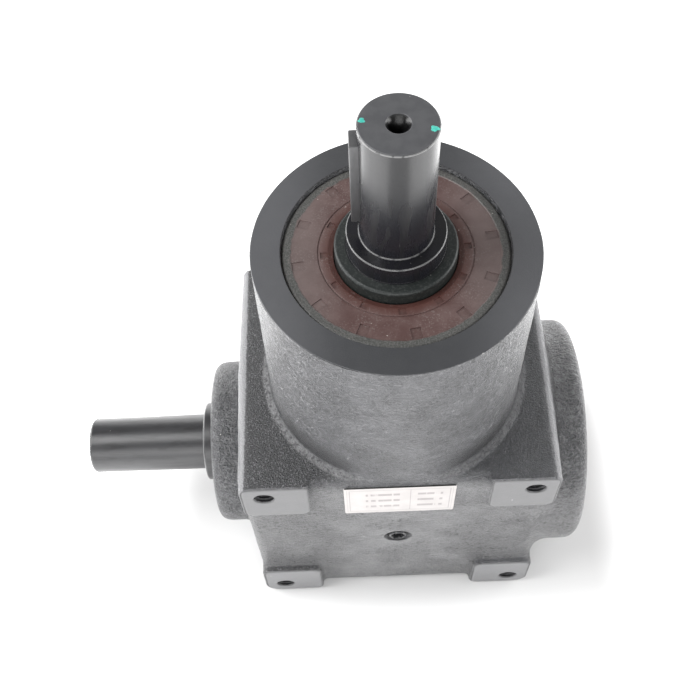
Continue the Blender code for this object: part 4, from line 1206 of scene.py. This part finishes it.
# ---- stage, lights and camera
SIDE_GLOW = 2.2            # the floor's glow to the left and right, and the distances over which it grows
SIDE_GLOW_SPAN = (0.135, 0.22)
FRONT_GLOW = 0.65          # the same in front and behind
FRONT_GLOW_SPAN = (0.072, 0.125)
WORLD_STRENGTH = 0.45
LIGHT_AIM = Vector((0, 0, 0.14))
LIGHTS = (                 # name, azimuth, elevation, distance, size and power
    ("front_panel", -8, 22, 1.8, (2.2, 1.0), 32),
    ("left_panel", -102, 16, 1.7, (1.6, 0.9), 34),
    ("right_panel", 100, 16, 1.7, (1.6, 0.9), 28),
    ("back_panel", 178, 12, 1.9, (1.8, 0.8), 16),
    ("key_panel", -85, 58, 1.9, (0.9, 0.9), 26),
)
CAMERA_AZIMUTH = 0.84
CAMERA_ELEVATION = 59.62
CAMERA_ROLL = -2.99
CAMERA_DISTANCE = 0.600
CAMERA_AIM = Vector((-0.0247, 0.0149, 0.1729))
CAMERA_LENS = 52.67


def direction(azimuth, elevation):
    """Unit vector away from the object. Azimuth 0 is in front of it, and 90 is on its right."""
    turn, rise = math.radians(azimuth), math.radians(elevation)
    return Vector((math.sin(turn) * math.cos(rise), -math.cos(turn) * math.cos(rise), math.sin(rise)))


def build_floor():
    """A pale floor that glows softly round the object, most to its left and right, like a light table."""
    bpy.ops.mesh.primitive_plane_add(size=14, location=(0, 0, -0.0004))
    floor = bpy.context.object
    floor.name = "pale_floor"
    n = Nodes("pale_floor")
    x, y, _ = n.axes()
    to_side = n.step(n.size(x), *SIDE_GLOW_SPAN)
    to_front = n.step(n.size(y), *FRONT_GLOW_SPAN)
    glow = n.scaled(to_side, SIDE_GLOW, n.times(to_front, FRONT_GLOW))
    n.set(Base_Color=(0.62, 0.62, 0.62), Roughness=0.9, Emission_Strength=glow)
    n.shader.inputs["Emission Color"].default_value = (1, 1, 1, 1)
    floor.data.materials.append(n.material)


def soft_light(name, azimuth, elevation, distance, size, power):
    """A rectangular soft light that faces the object."""
    data = bpy.data.lights.new(name, "AREA")
    data.shape = "RECTANGLE"
    data.size, data.size_y = size
    data.energy = power
    made = add_object(name, data)
    away = direction(azimuth, elevation)
    made.location = LIGHT_AIM + away * distance
    made.rotation_euler = (-away).to_track_quat("-Z", "Y").to_euler()


def build_lights():
    world = bpy.data.worlds.new("studio")
    world.use_nodes = True
    background = world.node_tree.nodes["Background"]
    background.inputs[0].default_value = (1, 1, 1, 1)
    background.inputs[1].default_value = WORLD_STRENGTH
    bpy.context.scene.world = world
    for light in LIGHTS:
        soft_light(*light)


def build_camera():
    back = direction(CAMERA_AZIMUTH, CAMERA_ELEVATION)
    right = Vector((0, 0, 1)).cross(back).normalized()
    up = back.cross(right)
    level = Matrix((right, up, back)).transposed()
    data = bpy.data.cameras.new("camera")
    data.sensor_width = 36.0
    data.lens = CAMERA_LENS
    data.clip_end = 50
    camera = add_object("camera", data)
    spin = Matrix.Rotation(math.radians(CAMERA_ROLL), 3, "Z")
    camera.matrix_world = Matrix.Translation(CAMERA_AIM + back * CAMERA_DISTANCE) @ (level @ spin).to_4x4()
    bpy.context.scene.camera = camera


def main():
    build_camera()
    build_lights()
    build_floor()
    upright_steel = shaft_steel()
    lying_steel = cross_steel()
    build_casting()
    build_output_shaft(upright_steel)
    build_cross_shaft(lying_steel)
    build_keys(key_steel(), lying_steel)
    build_paint_marks()
    build_seals()
    build_end_cap()
    build_plugs(plug_steel())
    build_label()
    paint_inner_parts()
    bpy.context.scene.view_settings.view_transform = "Standard"


main()
